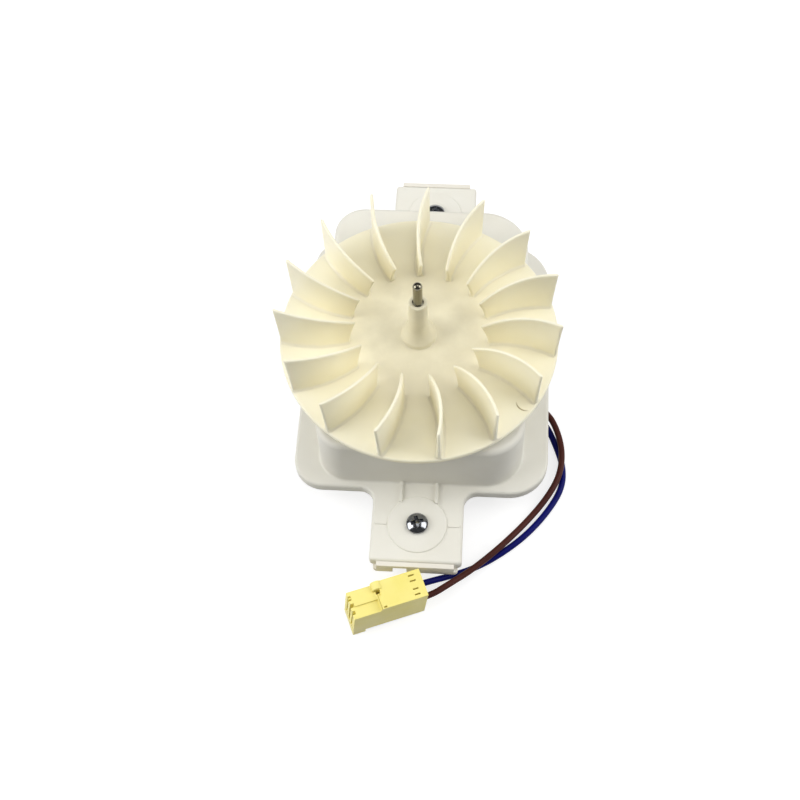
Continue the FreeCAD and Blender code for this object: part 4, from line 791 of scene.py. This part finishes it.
def buildScrews():
    s = screwShape
    for name, way in (("near", -1), ("far", 1)):
        y = s["middleY"] + way * s["spacing"] / 2
        makePiece(name + "ScrewSkin", screwGrids(s["x"], y, s["turn"][name]), finishes["screw"], "housing",
                  [name + "_cover_screw"], s["sharp"])


buildScrews()
print("shaft and screws built")

# Mouldings and other pieces whose edges are eased, with the widths in millimetres

softEdges = {
    "upper_cover": 0.2, "lower_cover": 0.2, "cable_grommet": 0.3,
    "coil_bobbin": 0.2, "coil_winding": 0.9, "stator_core": 0.06, "coil_yoke": 0.06,
    "rear_shading_ring": 0.3, "front_shading_ring": 0.3, "front_bracket": 0.12, "rear_bracket": 0.12,
    "rotor_core": 0.08, "rotor_cage": 0.15,
}
softMounts = {"rows": ("lower", "upper"), "count": 4, "width": 0.35}
for nodeName, width in softEdges.items():
    softenNode(nodeName, width)
for row in softMounts["rows"]:
    for number in range(1, softMounts["count"] + 1):
        softenNode("%s_rubber_mount_%d" % (row, number), softMounts["width"])
print("edges eased")

# Stage and light: places and sizes in metres, powers in watts

floorShape = {"half": 1.5, "grey": (0.42, 0.42, 0.42, 1), "roughness": 0.9}
lightPlan = {
    "key": {"place": (0.05, 0.10, 0.66), "size": 0.35, "power": 0.5},
    "left": {"place": (-0.53, -0.11, 0.37), "size": 0.5, "power": 2.6},
    "right": {"place": (0.54, 0.0, 0.43), "size": 0.5, "power": 2.3},
    "aim": (0, 0, 0.03),
    "skyLow": 0.05, "skyHigh": 0.64, "skyUp": (0.0, 0.46, 0.89), "skyFrom": -0.1, "skyTo": 0.9,
    "mirrored": 0.12, "seen": 1.0,
    "floorGlow": 0.72,
}


def addStage():
    data = bpy.data.meshes.new("floor")
    half = floorShape["half"]
    corners = [(-half, -half, 0), (half, -half, 0), (half, half, 0), (-half, half, 0)]
    data.from_pydata(corners, [], [(0, 1, 2, 3)])
    floor = bpy.data.objects.new("floor", data)
    scene.collection.objects.link(floor)
    material = bpy.data.materials.new("paleFloor")
    material.use_nodes = True
    tree = material.node_tree
    surface = tree.nodes["Principled BSDF"]
    surface.inputs["Base Color"].default_value = floorShape["grey"]
    surface.inputs["Roughness"].default_value = floorShape["roughness"]
    surface.inputs["Specular IOR Level"].default_value = 0.0
    # the camera and mirrored rays see a glow added to the grey
    seen = tree.nodes.new("ShaderNodeLightPath")
    either = workNumbers(tree, "MAXIMUM", seen.outputs["Is Camera Ray"], seen.outputs["Is Glossy Ray"])
    shade = tree.nodes.new("ShaderNodeBsdfDiffuse")
    shade.inputs["Color"].default_value = floorShape["grey"]
    glow = tree.nodes.new("ShaderNodeEmission")
    glow.inputs["Color"].default_value = (1, 1, 1, 1)
    glow.inputs["Strength"].default_value = lightPlan["floorGlow"]
    both = tree.nodes.new("ShaderNodeAddShader")
    tree.links.new(shade.outputs[0], both.inputs[0])
    tree.links.new(glow.outputs[0], both.inputs[1])
    mix = tree.nodes.new("ShaderNodeMixShader")
    tree.links.new(either, mix.inputs[0])
    tree.links.new(surface.outputs[0], mix.inputs[1])
    tree.links.new(both.outputs[0], mix.inputs[2])
    tree.links.new(mix.outputs[0], tree.nodes["Material Output"].inputs["Surface"])
    data.materials.append(material)


def addLight(name):
    plan = lightPlan[name]
    data = bpy.data.lights.new(name, "AREA")
    data.energy = plan["power"]
    data.size = plan["size"]
    lamp = bpy.data.objects.new(name, data)
    lamp.location = plan["place"]
    aim = Vector(lightPlan["aim"]) - lamp.location
    lamp.rotation_euler = aim.to_track_quat("-Z", "Y").to_euler()
    scene.collection.objects.link(lamp)


def addWorld():
    world = bpy.data.worlds.new("paleRoom")
    scene.world = world
    world.use_nodes = True
    tree = world.node_tree
    plain = tree.nodes["Background"]
    plain.inputs["Color"].default_value = (1, 1, 1, 1)
    # the sky grows brighter towards its upper back
    ahead = tree.nodes.new("ShaderNodeTexCoord").outputs["Generated"]
    up = workVectors(tree, "DOT_PRODUCT", ahead, lightPlan["skyUp"])
    strength = mapTo(tree, up, lightPlan["skyLow"], lightPlan["skyHigh"], lightPlan["skyFrom"],
                     lightPlan["skyTo"])
    tree.links.new(strength, plain.inputs["Strength"])
    seen = tree.nodes.new("ShaderNodeLightPath")
    level = plain.outputs[0]
    for socket, key in (("Is Glossy Ray", "mirrored"), ("Is Camera Ray", "seen")):
        other = tree.nodes.new("ShaderNodeBackground")
        other.inputs["Strength"].default_value = lightPlan[key]
        mix = tree.nodes.new("ShaderNodeMixShader")
        tree.links.new(seen.outputs[socket], mix.inputs[0])
        tree.links.new(level, mix.inputs[1])
        tree.links.new(other.outputs[0], mix.inputs[2])
        level = mix.outputs[0]
    tree.links.new(level, tree.nodes["World Output"].inputs["Surface"])


addStage()
for lightName in ("key", "left", "right"):
    addLight(lightName)
addWorld()
scene.view_settings.view_transform = "Standard"
print("stage and light set")
